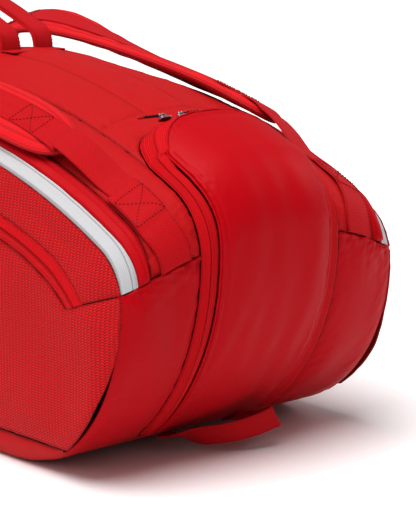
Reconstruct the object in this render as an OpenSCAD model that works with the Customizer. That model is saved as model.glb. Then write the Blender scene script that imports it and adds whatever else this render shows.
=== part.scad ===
// Racket tournament bag: three-lobe soft bag lying on its base, zipped end flap at the -Y end.
// Origin: bottom centre of the bag. X is right, Y runs along the bag, Z is up. Millimetres.

/* [Body] */
// Distance from mid length to the rounded nose of each end
end_reach = 376; // [360:1:390]
// Half width at the seams of the side panels
seam_x = 178; // [172:1:184]
// Half width of the centre compartment at its long seams
centre_x = 92; // [88:1:96]
// Height of the top at mid length on the centre line
top_height = 372; // [364:1:380]
// Height of the long seams of the centre compartment at mid length
seam_height = 360; // [354:1:364]
// How far the shoulders fall from the centre seams to the side panels
shoulder_drop = 42; // [36:1:48]
// Height of the arch centre below the ground plane
arch_depth = 382; // [370:1:400]
// Outward belly of the side panels
side_belly = 10; // [7:1:12]
// Shell thickness of the padded panels
shell = 3; // [2.5:0.5:3.5]

/* [End flap] */
// Half width of the end flap
flap_x = 71; // [66:1:74]
// Height at which the flap folds down when it is unzipped
fold_height = 108; // [104:1:116]
// How far the flap's top edge stands proud of the bag
flap_rise = 23; // [18:1:26]

/* [Zips] */
// Inner edge of the white racket compartment zip
zip_in_x = 161; // [160:0.5:162]
// Drop from the top edge of the side to the middle of the pocket zip
pocket_drop = 56; // [54:1:60]
// Width of the pocket zip's tape
pocket_zip_w = 24; // [20:1:26]

/* [Straps] */
// Distance from the centre line to the middle of each shoulder strap anchor
strap_x = 130; // [128:1:130]
// Width of the strap webbing
webbing_w = 34; // [30:1:34]
// Width of the padded part of the shoulder straps
pad_w = 66; // [60:1:68]
// Thickness of the padded part
pad_t = 12; // [10:1:14]
// Height of the carry handles above the top
handle_rise = 50; // [50:1:64]

/* [Hidden] */
seam_gap = 0.6;                    // room left at each sewn seam between two panels
arch_z = -arch_depth;
rho_seam = seam_height + arch_depth;
crown = top_height - seam_height;
lobe_swell = 6;                    // swell of each shoulder between its seams
nose_round = 12;                   // how much shorter the side seams are than the centre
corner_r = 70;                     // radius between top and end at the centre
corner_fall = 10;                  // how much smaller that radius is at the sides
toe_y = 278;                       // where the end meets the lifted base
toe_z = 24;
flat_y = 180;                      // the base is flat up to here
split_y = 318;                     // the side panels open between these ends
hinge_z = 30;                      // height of the side panels' fold
pocket_arch_z = arch_z - pocket_drop;
slider_angle = 25;                 // where the side zips' sliders rest, past mid length
tape_lift = 0.5;

// ---------- the shape of the bag ----------
// Sideways position as a share from the centre seam (0) to the side seam (1).
function share(x) = max(0, (abs(x) - centre_x) / (seam_x - centre_x));
function ramp(v) = let (c = min(max(v, 0), 1)) c * c * (3 - 2 * c);
// Radius of the long arch at x, about an axis along X at arch_z.
function rho(x) = abs(x) <= centre_x
    ? rho_seam + crown * (1 - pow(x / centre_x, 2))
    : rho_seam - shoulder_drop * share(x) + lobe_swell * sin(180 * min(share(x), 1));
function nose_y(x) = end_reach - nose_round * pow(x / seam_x, 4);
function corner(x) = corner_r - corner_fall * share(x);
function arch_end(x) = asin((nose_y(x) - corner(x)) / (rho(x) - corner(x)));
function nose_z(x) = arch_z + (rho(x) - corner(x)) * cos(arch_end(x));
function low_turn(x) = 2 * atan2(nose_y(x) - toe_y, nose_z(x) - toe_z);
function low_r(x) = (nose_z(x) - toe_z) / sin(low_turn(x));
rocker_r = (pow(toe_y - flat_y, 2) + pow(toe_z, 2)) / (2 * toe_z);
rocker_turn = asin((toe_y - flat_y) / rocker_r);

// Outline at x, walked by t: 0-1 top arch, 1-2 corner, 2-3 end, 3-4 lifted base.
// Gives [y, z, outward y, outward z] on the +Y half.
function outline(x, t) =
    t <= 1 ? let (a = arch_end(x) * t) [rho(x) * sin(a), arch_z + rho(x) * cos(a), sin(a), cos(a)]
    : t <= 2 ? let (a0 = arch_end(x), a = a0 + (90 - a0) * (t - 1), r = corner(x))
        [nose_y(x) - r + r * sin(a), nose_z(x) + r * cos(a), sin(a), cos(a)]
    : t <= 3 ? let (a = low_turn(x) * (t - 2), r = low_r(x))
        [nose_y(x) - r * (1 - cos(a)), nose_z(x) - r * sin(a), cos(a), -sin(a)]
    : let (a = rocker_turn * (4 - t))
        [flat_y + rocker_r * sin(a), rocker_r * (1 - cos(a)), sin(a), -cos(a)];
// Point on the skin, off mm outside it. A negative t is on the near (-Y) half.
function skin(x, t, off = 0) = let (p = outline(x, abs(t)), s = t < 0 ? -1 : 1)
    [x, s * (p[0] + off * p[2]), p[1] + off * p[3]];
// The end seam runs a little above the nose, and highest at the side panels.
function seam_t(x) = 2 - (4 + 9 * pow(share(x), 3)) / (90 - arch_end(x));

// Side panel: x of its inner face at [y, z], and its top and bottom edges at y.
function side_top(y) = let (a = abs(y), r = corner(seam_x), cy = nose_y(seam_x) - r)
    a <= rho(seam_x) * sin(arch_end(seam_x)) ? arch_z + sqrt(pow(rho(seam_x), 2) - a * a)
    : nose_z(seam_x) + sqrt(max(0, r * r - pow(a - cy, 2)));
function side_low(y) = let (a = abs(y), r = low_r(seam_x), turn = acos(1 - (nose_y(seam_x) - a) / r))
    a <= toe_y ? toe_z : nose_z(seam_x) - r * sin(turn);
function side_x(y, z) = let (w = side_top(y) - z, grow = ramp((365 - abs(y)) / 115))
    seam_x + side_belly * grow * (1 - pow(1 - min(w / 110, 1), 2)) * (1 - pow(1 - min(z / 90, 1), 2));
// Middle of the pocket zip at y: an arch that turns down at its ends.
function pocket_zip_z(y) = pocket_arch_z + sqrt(pow(rho(seam_x), 2) - y * y)
    - 16 * pow(max(0, abs(y) - 262) / 45, 2);

// ---------- building blocks ----------
function steps(a, b, n) = [for (i = [0:n]) a + (b - a) * i / n];
function flat(lists) = [for (l = lists) each l];
// True when the rows and columns of a grid turn so that its faces look away from the other grid.
function looks_out(outer, inner) = let (i = floor(len(outer) / 2) - 1, p = outer[i][0])
    cross(outer[i + 1][0] - p, outer[i][1] - p) * (p - inner[i][0]) < 0;
// Closed sheet between two grids of points that match row by row.
module sheet(side_a, side_b) {
    turned = looks_out(side_a, side_b);
    outer = turned ? side_a : side_b; inner = turned ? side_b : side_a;
    n = len(outer); m = len(outer[0]); k = n * m;
    q = function (i, j, s) s * k + i * m + j;
    faces = concat(
        flat([for (i = [0:n - 2]) for (j = [0:m - 2])
            [[q(i, j, 0), q(i + 1, j, 0), q(i + 1, j + 1, 0)],
             [q(i, j, 0), q(i + 1, j + 1, 0), q(i, j + 1, 0)],
             [q(i, j, 1), q(i + 1, j + 1, 1), q(i + 1, j, 1)],
             [q(i, j, 1), q(i, j + 1, 1), q(i + 1, j + 1, 1)]]]),
        flat([for (i = [0:n - 2])
            [[q(i, 0, 0), q(i, 0, 1), q(i + 1, 0, 1)], [q(i, 0, 0), q(i + 1, 0, 1), q(i + 1, 0, 0)],
             [q(i, m - 1, 0), q(i + 1, m - 1, 1), q(i, m - 1, 1)],
             [q(i, m - 1, 0), q(i + 1, m - 1, 0), q(i + 1, m - 1, 1)]]]),
        flat([for (j = [0:m - 2])
            [[q(0, j, 0), q(0, j + 1, 1), q(0, j, 1)], [q(0, j, 0), q(0, j + 1, 0), q(0, j + 1, 1)],
             [q(n - 1, j, 0), q(n - 1, j, 1), q(n - 1, j + 1, 1)],
             [q(n - 1, j, 0), q(n - 1, j + 1, 1), q(n - 1, j + 1, 0)]]]));
    polyhedron(concat(flat(outer), flat(inner)), faces);
}
// Skin panel over a grid of x and t, between two offsets from the skin.
module skin_panel(xs, ts, out = 0, in = -shell)
    sheet([for (t = ts) [for (x = xs) skin(x, t, out)]], [for (t = ts) [for (x = xs) skin(x, t, in)]]);
// Side panel on the +X side over y stations, between two height rules.
module side_panel(ys, low, high, rows = 4, out = shell, in = 0)
    sheet([for (y = ys) [for (v = steps(0, 1, rows)) let (z = low(y) * (1 - v) + high(y) * v)
              [side_x(y, z) + in, y, z]]],
          [for (y = ys) [for (v = steps(0, 1, rows)) let (z = low(y) * (1 - v) + high(y) * v)
              [side_x(y, z) + out, y, z]]]);
module on_left() mirror([1, 0, 0]) children();
module far_end() mirror([0, 1, 0]) children();
// Flat band swept along points; each point is [position, width direction, face normal].
function band_face(route, width, off) = [for (p = route) let (middle = p[0] + p[2] * off)
    [middle - p[1] * width / 2, middle + p[1] * width / 2]];
module band(route, width, thick)
    sheet(band_face(route, width, thick / 2), band_face(route, width, -thick / 2));

// ---------- base and inner structure ----------
module base_panel() color([0.62, 0.03, 0.05]) {
    rocker = [for (t = steps(4, 3, 8)) let (p = outline(0, t)) [p[0], p[1]]];
    last = len(rocker) - 1;
    side = concat([for (i = [last:-1:0]) rocker[i]], [for (p = rocker) [-p[0], p[1]]]);
    rim = concat(side, [[-toe_y, toe_z + 3], [toe_y, toe_z + 3]]);
    floor_outline = concat(side, [for (i = [2 * last + 1:-1:0]) side[i] + [0, shell]]);
    rotate([90, 0, 90]) {
        translate([0, 0, -seam_x]) linear_extrude(2 * seam_x) polygon(floor_outline);
        for (s = [-1, 1]) translate([0, 0, s * (seam_x - shell / 2) - shell / 2])
            linear_extrude(shell) polygon(rim);
    }
}
module base_board() color([0.1, 0.1, 0.1])
    translate([-168, -175, shell + 0.5]) cube([336, 350, 3]);
// Padded wall between the centre and a racket compartment.
module divider() color([0.35, 0.35, 0.36])
    rotate([90, 0, 90]) translate([0, 0, centre_x - shell / 2]) linear_extrude(shell)
        intersection() {
            translate([0, arch_z]) circle(r = rho(centre_x) - shell - 2, $fn = 180);
            translate([-285, 34]) square([570, 340]);
        }
// The top panel's near edge follows the outer edge of the flap's zip tape.
function top_edge_t(x) = 0.752 + 0.14 * pow(abs(x) / tape_out_x, 8);
top_panel_xs = steps(-centre_x + seam_gap, centre_x - seam_gap, 12);
function top_grid(off) = [for (v = steps(0, 1, 20)) [for (x = top_panel_xs)
    let (t = -top_edge_t(x) * (1 - v) + 0.995 * v) skin(x, t, off)]];
module top_panel() color([0.85, 0.1, 0.12]) sheet(top_grid(0), top_grid(-shell));

// Panels on the shoulders run from end seam to end seam, close together where the ends turn.
seam_to_seam = concat(steps(-0.994, -0.54, 5), steps(-0.48, 0.48, 18), steps(0.54, 0.994, 5));
module shoulder_strip(xs, out, in) {
    rows = [for (v = seam_to_seam) [for (x = xs) [x, v * seam_t(x)]]];
    sheet([for (r = rows) [for (p = r) skin(p[0], p[1], out)]],
          [for (r = rows) [for (p = r) skin(p[0], p[1], in)]]);
}
module shoulder_panel() color([0.8, 0.07, 0.1])
    shoulder_strip(steps(centre_x + seam_gap, 147.5, 4), 0, -shell);
module rain_flap() color([0.8, 0.05, 0.1])
    shoulder_strip([148, 154, zip_in_x - seam_gap], 2, -2);
module racket_zip_tape() color([0.92, 0.92, 0.93])
    shoulder_strip([zip_in_x, 170, seam_x - seam_gap], 0, -2);

// ---------- ends ----------
end_xs = steps(centre_x + seam_gap, seam_x - seam_gap, 6);
function end_grid(off) = [for (v = steps(0, 1, 8)) [for (x = end_xs)
    skin(x, -(seam_t(x) + 0.008) * (1 - v) - 2.97 * v, off)]];
module end_panel() color([0.7, 0.02, 0.06]) sheet(end_grid(0), end_grid(-shell));
module far_centre_end_panel() color([0.75, 0.04, 0.07])
    skin_panel(steps(-centre_x + seam_gap, centre_x - seam_gap, 8),
               concat(steps(1.01, 2, 4), steps(2.15, 2.97, 6)));
module mesh_end() color([0.85, 0.16, 0.2])
    side_panel(steps(-split_y - seam_gap, 3 - nose_y(seam_x), 5), function (y) side_low(y) + seam_gap,
               function (y) side_top(y) - seam_gap, 5);

// The flap stands proud of the skin in the middle and meets it at its side edges.
low_rise = 15;
function flap_height(a) = a < 1 ? flap_rise : a < 2 ? flap_rise - (flap_rise - low_rise) * (a - 1)
    : low_rise * (1 - pow(min(a - 2, 1), 2));
function flap_proud(x, t) = flap_height(abs(t)) * sqrt(max(0, 1 - pow(x / flap_x, 4)));
function flap_top_t(x) = (21.2 + 2.9 * pow(min(abs(x) / flap_x, 1), 4)) / arch_end(x);
// The t at which the flap crosses the fold height at x.
function fold_t(x) = 2 + asin((nose_z(x) - fold_height) / low_r(x)) / low_turn(x);
flap_edge_x = flap_x - 0.8;
function flap_grid(from, to, rows, extra) = [for (v = steps(0, 1, rows))
    [for (x = [-1, -0.93, -0.8, -0.6, -0.3, 0, 0.3, 0.6, 0.8, 0.93, 1] * flap_edge_x)
        let (t = from(x) * (1 - v) + to(x) * v) skin(x, -t, flap_proud(x, t) + extra)]];
module end_flap() color([0.82, 0.08, 0.12])
    sheet(flap_grid(function (x) flap_top_t(x) + 0.002, function (x) fold_t(x) - 0.004, 14, 0),
          flap_grid(function (x) flap_top_t(x) + 0.002, function (x) fold_t(x) - 0.004, 14, -shell));
module end_flap_foot() color([0.72, 0.04, 0.07])
    sheet(flap_grid(function (x) fold_t(x) + 0.004, function (x) 2.97, 5, 0),
          flap_grid(function (x) fold_t(x) + 0.004, function (x) 2.97, 5, -shell));

// U-shaped zip tape from toe to toe round the flap: inner edge at the flap, outer edge on the skin.
tape_out_x = centre_x - 1.2;
tape_in_x = flap_x + 0.3;
side_ts = concat(steps(2.97, 2.1, 7), [2, 1.75, 1.5, 1.25, 1.0]);
top_xs = [1, 0.93, 0.8, 0.6, 0.3, 0, -0.3, -0.6, -0.8, -0.93, -1];
function top_tape_out(f) = skin(f * (tape_out_x - 3), -(0.76 + 0.135 * pow(abs(f), 6)), 0);
function top_tape_in(f, off) = let (x = f * flap_edge_x, t = flap_top_t(x) - 0.003)
    skin(x + sign(f) * 0.8 * pow(abs(f), 6), -t, flap_proud(x, t) + off);
function tape_outer(off) = concat([for (t = side_ts) skin(tape_out_x, -t, off)],
    [for (f = top_xs) top_tape_out(f) + [0, 0, off]],
    [for (i = [len(side_ts) - 1:-1:0]) skin(-tape_out_x, -side_ts[i], off)]);
function tape_inner(off) = concat([for (t = side_ts) skin(tape_in_x, -t, off)],
    [for (f = top_xs) top_tape_in(f, 0) + [0, 0.9 * off, 0]],
    [for (i = [len(side_ts) - 1:-1:0]) skin(-tape_in_x, -side_ts[i], off)]);
function transpose(g) = [for (i = [0:len(g[0]) - 1]) [for (r = g) r[i]]];
module flap_zip_tape() color([0.9, 0.08, 0.1])
    sheet(transpose([tape_inner(0), (tape_inner(0) + tape_outer(0)) / 2, tape_outer(0)]),
          transpose([tape_inner(-2), (tape_inner(-2) + tape_outer(-2)) / 2, tape_outer(-2)]));

// ---------- side panels and pockets (drawn on the +X side) ----------
zip_half = pocket_zip_w / 2;
side_ys = steps(-split_y, split_y, 18);
module upper_mesh() color([0.85, 0.12, 0.17])
    side_panel(side_ys, function (y) pocket_zip_z(y) + zip_half + seam_gap,
               function (y) side_top(y) - seam_gap, 3);
module pocket_zip_tape() color([0.9, 0.06, 0.1])
    side_panel(side_ys, function (y) pocket_zip_z(y) - zip_half + seam_gap,
               function (y) pocket_zip_z(y) + zip_half, 2, 2.5, 0.5);
function front_low(y) = max(hinge_z + 1, side_low(y) + seam_gap);
module pocket_front() color([0.85, 0.16, 0.2])
    side_panel(side_ys, function (y) front_low(y), function (y) pocket_zip_z(y) - zip_half, 6);
module pocket_back() color([0.3, 0.3, 0.32])
    side_panel(steps(-272, 272, 16), function (y) hinge_z + 6,
               function (y) pocket_zip_z(y) - zip_half + 4, 5, -9, -11);

// ---------- zip sliders and pulls ----------
// Slider for a zip, flat underneath, at the origin with its pull's pin along X.
module slider_shape() {
    translate([-4.5, -7, 0]) cube([9, 14, 2.2]);
    translate([-3, -5, 2.2]) cube([6, 10, 1.2]);
    translate([-1.4, -2.6, 3.4]) difference() {
        cube([2.8, 5.2, 4]);
        translate([-1, 2.6, 1.8]) rotate([0, 90, 0]) cylinder(d = 2.4, h = 5, $fn = 24);
    }
}
// Pull hung in the slider's bridge: ring, then a cord with a moulded tip, lying towards -Y.
module pull_shape(cord) {
    for (s = [-1, 1]) translate([s * 2.6 - 0.6, -6, 4.6]) cube([1.2, 6.8, 1.2]);
    translate([-3.2, -7.4, 4.6]) cube([6.4, 1.4, 1.2]);
    translate([-1.8, 0, 5.2]) rotate([0, 90, 0]) cylinder(d = 1.4, h = 3.6, $fn = 24);
    translate([0, -7.4, 5.2]) rotate([90, 0, 0]) cylinder(d = 2, h = cord, $fn = 20);
    translate([0, -7.4 - cord, 5.2]) rotate([90, 0, 0]) cylinder(d = 4.2, h = 9, $fn = 20);
}
// The racket sliders stand square on the sloping tape at zip_slide_x.
zip_slide_x = 170;
zip_lean = atan2(rho(zip_slide_x - 4) - rho(zip_slide_x + 4), 8);
module on_racket_zip() translate([zip_slide_x, 0, arch_z]) rotate([-slider_angle, 0, 0])
    translate([0, 0, rho(zip_slide_x) + tape_lift + 0.6]) rotate([0, zip_lean, 0]) children();
module racket_slider() color([0.75, 0.75, 0.77])
    on_racket_zip() slider_shape();
module racket_pull() color([0.9, 0.9, 0.9])
    on_racket_zip() pull_shape(16);
pocket_angle = 19;
pocket_face = side_x(0, side_top(0) - pocket_drop) + 3.6;
module on_pocket_zip() translate([pocket_face, 0, pocket_arch_z]) rotate([-pocket_angle, 0, 0])
    translate([0, 0, rho(seam_x)]) rotate([0, 90, 0]) children();
module pocket_slider() color([0.6, 0.1, 0.12]) on_pocket_zip() slider_shape();
module pocket_pull() color([0.5, 0.05, 0.08]) on_pocket_zip() pull_shape(16);

// The flap's sliders stand on the wall of its zip tape behind the top edge, and run along X.
wall_low = top_tape_out(0);
wall_high = top_tape_in(0, 0);
wall_tilt = atan2(wall_high[2] - wall_low[2], wall_low[1] - wall_high[1]);
left_slider_x = -44;
right_slider_x = -22;
module flap_slider_place(x, turn) translate((wall_low + wall_high) / 2 + [x, 0, 0])
    rotate([-wall_tilt, 0, 0]) translate([0, 0, 1.2]) rotate([0, 0, turn]) children();
module flap_pull(x, turn) color([0.16, 0.02, 0.03]) flap_slider_place(x, turn) pull_shape(18);

// ---------- straps ----------
anchor_top_t = 0.9;                // the sewn end of the strap webbing on the shoulder
anchor_lift = 0.4;
lowered_shift = 7;                 // the lowered strap's pad lies further out than its anchors
standing_rise = 57;                // how far the standing strap rises above the shoulder
standing_shift = -4;               // and the standing strap's pad further in
standing_lean = 0.014;             // slope that it gains across its width for each mm of rise
// The sewn webbing runs in towards the end seam.
function anchor_x(t) = strap_x - 8.5 * ramp((abs(t) - 1.2) / 0.65);
module strap_anchor() color([0.82, 0.12, 0.16]) {
    ts = concat(steps(-1.905, -1, 8), steps(-0.97, -anchor_top_t, 2));
    rows = [for (t = ts) [for (f = [-0.5, 0, 0.5]) [anchor_x(t) + f * webbing_w, t]]];
    sheet([for (r = rows) [for (p = r) skin(p[0], p[1], anchor_lift + 2)]],
          [for (r = rows) [for (p = r) skin(p[0], p[1], anchor_lift)]]);
}
// Middle line of a shoulder strap. A strap that stands up leaves the skin at strap_leaves and is
// highest in the far half; one that lies down follows the skin.
strap_leaves = -145;
strap_end = 300;
pad_end = 236;
function strap_lift(y, rise) =
    4 + rise * sin(180 * pow(max(0, y - strap_leaves) / (strap_end - strap_leaves), 2.2));
function strap_mid(y, x, rise) = [x, y, arch_z + sqrt(pow(rho(x), 2) - y * y) + strap_lift(y, rise)];
function strap_slope(y, rise) = -0.46 + standing_lean * (strap_lift(y, rise) - 4);
function strap_side(y, rise) = let (v = [1, 0, strap_slope(y, rise)]) v / norm(v);
function strap_up(y, rise) = let (v = [-strap_slope(y, rise), 0, 1]) v / norm(v);
function pad_width(y) = pad_w * sqrt(1 - pow(abs(y) / (pad_end + 12), 10));
// shift moves the pad outward from its anchors, rise is how far the strap stands up.
module strap_pad(shift, rise) color([0.78, 0.08, 0.12]) {
    rows = [for (y = steps(-pad_end, pad_end, 16)) [for (f = [-0.5, 0, 0.5])
        strap_mid(y, strap_x + shift, rise) + strap_side(y, rise) * f * pad_width(y)]];
    sheet([for (r = rows) [for (p = r) p + strap_up(p[1], rise) * pad_t]], rows);
}
module strap_webbing(shift, rise) color([0.85, 0.14, 0.18]) for (s = [-1, 1]) {
    ys = steps(s * strap_end, s * (pad_end + 1.5), 5);
    band([for (i = [0:5]) [strap_mid(ys[i], strap_x + shift * i / 5, rise) + [0, 0, 1 + i / 2],
                           strap_side(ys[i], rise), strap_up(ys[i], rise)]], webbing_w - 2, 2);
}

// ---------- carry handles and grab loops ----------
handle_x = 22;
handle_y = [12, 172];
handle_w = 25;
module handle_tabs() color([0.8, 0.1, 0.14]) for (s = [0, 1]) {
    ts = [for (d = [0, 1]) (handle_y[s] + (s == 0 ? -1 : 1) * (2 + 22 * d))];
    faces = [for (off = [2.7, 0.7]) [for (y = ts) [for (f = [-0.5, 0.5]) let (x = handle_x + f * handle_w)
        [x, y, arch_z + sqrt(pow(rho(x), 2) - y * y) + off]]]];
    sheet(faces[0], faces[1]);
}
handle_foot_z = top_height + 4;
// The handle stands up at its feet and then leans towards its middle, which is its highest point.
function handle_point(v) = let (f = sin(90 * v), a = abs(f),
    high = handle_rise * (0.42 * sqrt(1 - pow(a, 24)) + 0.58 * (1 - pow(a, 1.1))))
    [handle_x, (handle_y[0] + handle_y[1] + f * (handle_y[1] - handle_y[0])) / 2, handle_foot_z + high];
// It is gathered narrow at its feet, so that it can fold over sideways.
module carry_handle() color([0.83, 0.12, 0.15]) {
    route = [for (v = steps(-1, 1, 20)) let (p = handle_point(v),
            way = handle_point(min(1, v + 0.02)) - handle_point(max(-1, v - 0.02)),
            w = min(handle_w, 8 + 0.52 * (p[2] - handle_foot_z)))
        [p, [w / handle_w, 0, 0], [0, -way[2], way[1]] / norm(way)]];
    band(route, handle_w, 2.4);
}
loop_w = 24;
loop_reach = 74;
module grab_loop() color([0.75, 0.08, 0.1]) {
    route = [for (a = steps(172, 8, 12))
        [[46 * cos(a), -toe_y - 2 - loop_reach * sin(a), 12.6 + 24 * pow(sin(a), 2)],
         [0, 0, 1], [cos(a), -sin(a), 0]]];
    band(route, loop_w, 2.2);
}

base_panel();
base_board();
on_left() divider();  // left_divider
divider();  // right_divider
top_panel();
on_left() shoulder_panel();  // left_shoulder_panel
shoulder_panel();  // right_shoulder_panel
on_left() rain_flap();  // left_rain_flap
rain_flap();  // right_rain_flap
on_left() racket_zip_tape();  // left_racket_zip_tape
racket_zip_tape();  // right_racket_zip_tape
on_left() end_panel();  // near_left_end_panel
end_panel();  // near_right_end_panel
far_end() on_left() end_panel();  // far_left_end_panel
far_end() end_panel();  // far_right_end_panel
far_centre_end_panel();
end_flap_foot();
flap_zip_tape();
on_left() mesh_end();  // near_left_mesh_end
mesh_end();  // near_right_mesh_end
far_end() on_left() mesh_end();  // far_left_mesh_end
far_end() mesh_end();  // far_right_mesh_end
on_left() strap_anchor();  // near_left_strap_anchor
strap_anchor();  // near_right_strap_anchor
far_end() on_left() strap_anchor();  // far_left_strap_anchor
far_end() strap_anchor();  // far_right_strap_anchor
on_left() handle_tabs();  // left_handle_tabs
handle_tabs();  // right_handle_tabs
end_flap();
color([0.3, 0.3, 0.32])  // left_flap_slider
    flap_slider_place(left_slider_x, -90) slider_shape();
color([0.3, 0.3, 0.32])  // right_flap_slider
    flap_slider_place(right_slider_x, 90) slider_shape();
flap_pull(left_slider_x, -90);  // left_flap_pull
flap_pull(right_slider_x, 90);  // right_flap_pull
on_left() upper_mesh();  // left_upper_mesh
upper_mesh();  // right_upper_mesh
on_left() pocket_zip_tape();  // left_pocket_zip_tape
pocket_zip_tape();  // right_pocket_zip_tape
on_left() pocket_back();  // left_pocket_back
pocket_back();  // right_pocket_back
on_left() pocket_front();  // left_pocket_front
pocket_front();  // right_pocket_front
on_left() racket_slider();  // left_racket_slider
racket_slider();  // right_racket_slider
on_left() racket_pull();  // left_racket_pull
racket_pull();  // right_racket_pull
on_left() pocket_slider();  // left_pocket_slider
pocket_slider();  // right_pocket_slider
on_left() pocket_pull();  // left_pocket_pull
pocket_pull();  // right_pocket_pull
on_left() strap_pad(lowered_shift, 0);  // left_strap_pad
strap_pad(standing_shift, standing_rise);  // right_strap_pad
on_left() strap_webbing(lowered_shift, 0);  // left_strap_webbing
strap_webbing(standing_shift, standing_rise);  // right_strap_webbing
on_left() carry_handle();  // left_carry_handle
carry_handle();  // right_carry_handle
grab_loop();  // near_grab_loop
far_end() grab_loop();  // far_grab_loop
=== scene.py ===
"""Racket tournament bag: its cloth, webbing, padding, zips and stitching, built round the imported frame.

Metres. X is right, Y runs along the bag with the flap end at -Y, and Z is up.
The shape functions repeat the skin of the CAD source.
"""

import bpy
import numpy as np
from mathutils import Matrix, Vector


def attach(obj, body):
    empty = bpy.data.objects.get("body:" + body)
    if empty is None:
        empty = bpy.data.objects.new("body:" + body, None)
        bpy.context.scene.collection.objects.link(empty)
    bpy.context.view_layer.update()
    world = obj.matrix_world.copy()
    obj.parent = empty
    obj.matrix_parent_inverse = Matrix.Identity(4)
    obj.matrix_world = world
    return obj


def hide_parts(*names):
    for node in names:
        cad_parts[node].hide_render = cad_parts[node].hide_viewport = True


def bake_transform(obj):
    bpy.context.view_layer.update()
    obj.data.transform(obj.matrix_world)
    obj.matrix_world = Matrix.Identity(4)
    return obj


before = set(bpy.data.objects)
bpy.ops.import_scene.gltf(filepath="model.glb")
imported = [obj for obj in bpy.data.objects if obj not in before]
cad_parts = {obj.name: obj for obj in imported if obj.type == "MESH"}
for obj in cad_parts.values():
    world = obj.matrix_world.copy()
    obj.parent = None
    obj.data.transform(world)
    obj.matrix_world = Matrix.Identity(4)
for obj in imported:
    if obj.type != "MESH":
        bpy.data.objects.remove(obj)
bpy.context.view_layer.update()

# ---------- sizes, as in the CAD source ----------
END_REACH = 0.376
SEAM_X = 0.178
CENTRE_X = 0.092
ARCH_Z = -0.382
RHO_SEAM = 0.742
CROWN = 0.012
SHOULDER_DROP = 0.042
LOBE_SWELL = 0.006
NOSE_ROUND = 0.012
CORNER_R = 0.070
CORNER_FALL = 0.010
TOE_Y, TOE_Z = 0.278, 0.024
FLAT_Y = 0.180
SIDE_BELLY = 0.010
SHELL = 0.003
FLAP_X = 0.071
FLAP_RISE = 0.023
LOW_RISE = 0.015
ZIP_IN_X = 0.161
POCKET_ARCH_Z = ARCH_Z - 0.056
POCKET_ZIP_HALF = 0.012
END_SEAM_Y = 0.3635
LOW_TIP_Y, HIGH_TIP_Y = 0.294, 0.3175
HINGE_Z = 0.030
STRAP_X = 0.130
WEB_W = 0.034

SIDES = (("left", -1), ("right", 1))
ENDS = (("near", -1), ("far", 1))

# ---------- camera, lights and floor ----------
AZIMUTH, ELEVATION = np.radians(42), np.radians(11.2)
CAMERA_AT = (-1.309, -1.7364, 0.585)
LENS = 141.7


def make_camera():
    data = bpy.data.cameras.new("photo_camera")
    data.lens = LENS
    data.sensor_width = 36
    data.clip_end = 30
    cam = bpy.data.objects.new("photo_camera", data)
    bpy.context.scene.collection.objects.link(cam)
    level = np.cos(ELEVATION)
    look = Vector((np.sin(AZIMUTH) * level, np.cos(AZIMUTH) * level, -np.sin(ELEVATION)))
    cam.location = CAMERA_AT
    cam.rotation_mode = "QUATERNION"
    cam.rotation_quaternion = look.to_track_quat("-Z", "Y")
    bpy.context.scene.camera = cam


def area_light(name, at, aim, size, watts, colour=(1, 1, 1)):
    data = bpy.data.lights.new(name, "AREA")
    data.shape = "DISK"
    data.size, data.energy, data.color = size, watts, colour
    light = bpy.data.objects.new(name, data)
    bpy.context.scene.collection.objects.link(light)
    light.location = at
    light.rotation_mode = "QUATERNION"
    light.rotation_quaternion = (Vector(aim) - Vector(at)).to_track_quat("-Z", "Y")


def make_studio():
    world = bpy.data.worlds.new("studio")
    world.use_nodes = True
    backdrop = world.node_tree.nodes["Background"]
    backdrop.inputs["Color"].default_value = (1, 1, 1, 1)
    # The backdrop is white to the camera and dimmer as a light.
    n = Nodes(world.node_tree)
    seen = n.add("ShaderNodeLightPath").outputs["Is Camera Ray"]
    n.feed(backdrop.inputs["Strength"], n.math("ADD", n.math("MULTIPLY", seen, 0.75), 0.32))
    bpy.context.scene.world = world
    bpy.context.scene.view_settings.view_transform = "Standard"
    bpy.context.scene.view_settings.gamma = 0.86
    sun = bpy.data.lights.new("soft_sun", "SUN")
    sun.energy, sun.angle = 3.5, np.radians(50)
    lamp = bpy.data.objects.new("soft_sun", sun)
    lamp.rotation_mode = "QUATERNION"
    lamp.rotation_quaternion = Vector((0.30, 0.02, -1.0)).to_track_quat("-Z", "Y")
    bpy.context.scene.collection.objects.link(lamp)
    area_light("rim", (1.9, -0.6, 1.3), (0.1, -0.2, 0.25), 1.0, 6)
    area_light("side", (-2.2, -0.4, 1.2), (-0.1, 0, 0.2), 1.2, 5)
    n = 24
    points = np.array([[(x, y, -0.0002) for x in np.linspace(-9, 9, n)] for y in np.linspace(-9, 9, n)])
    floor = Piece("floor")
    floor.grid(points, material("floor", (0.90, 0.90, 0.90), 0.9, 0.4, 0.0, valley=0.995, mottle=0.003))
    floor.make()


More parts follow.
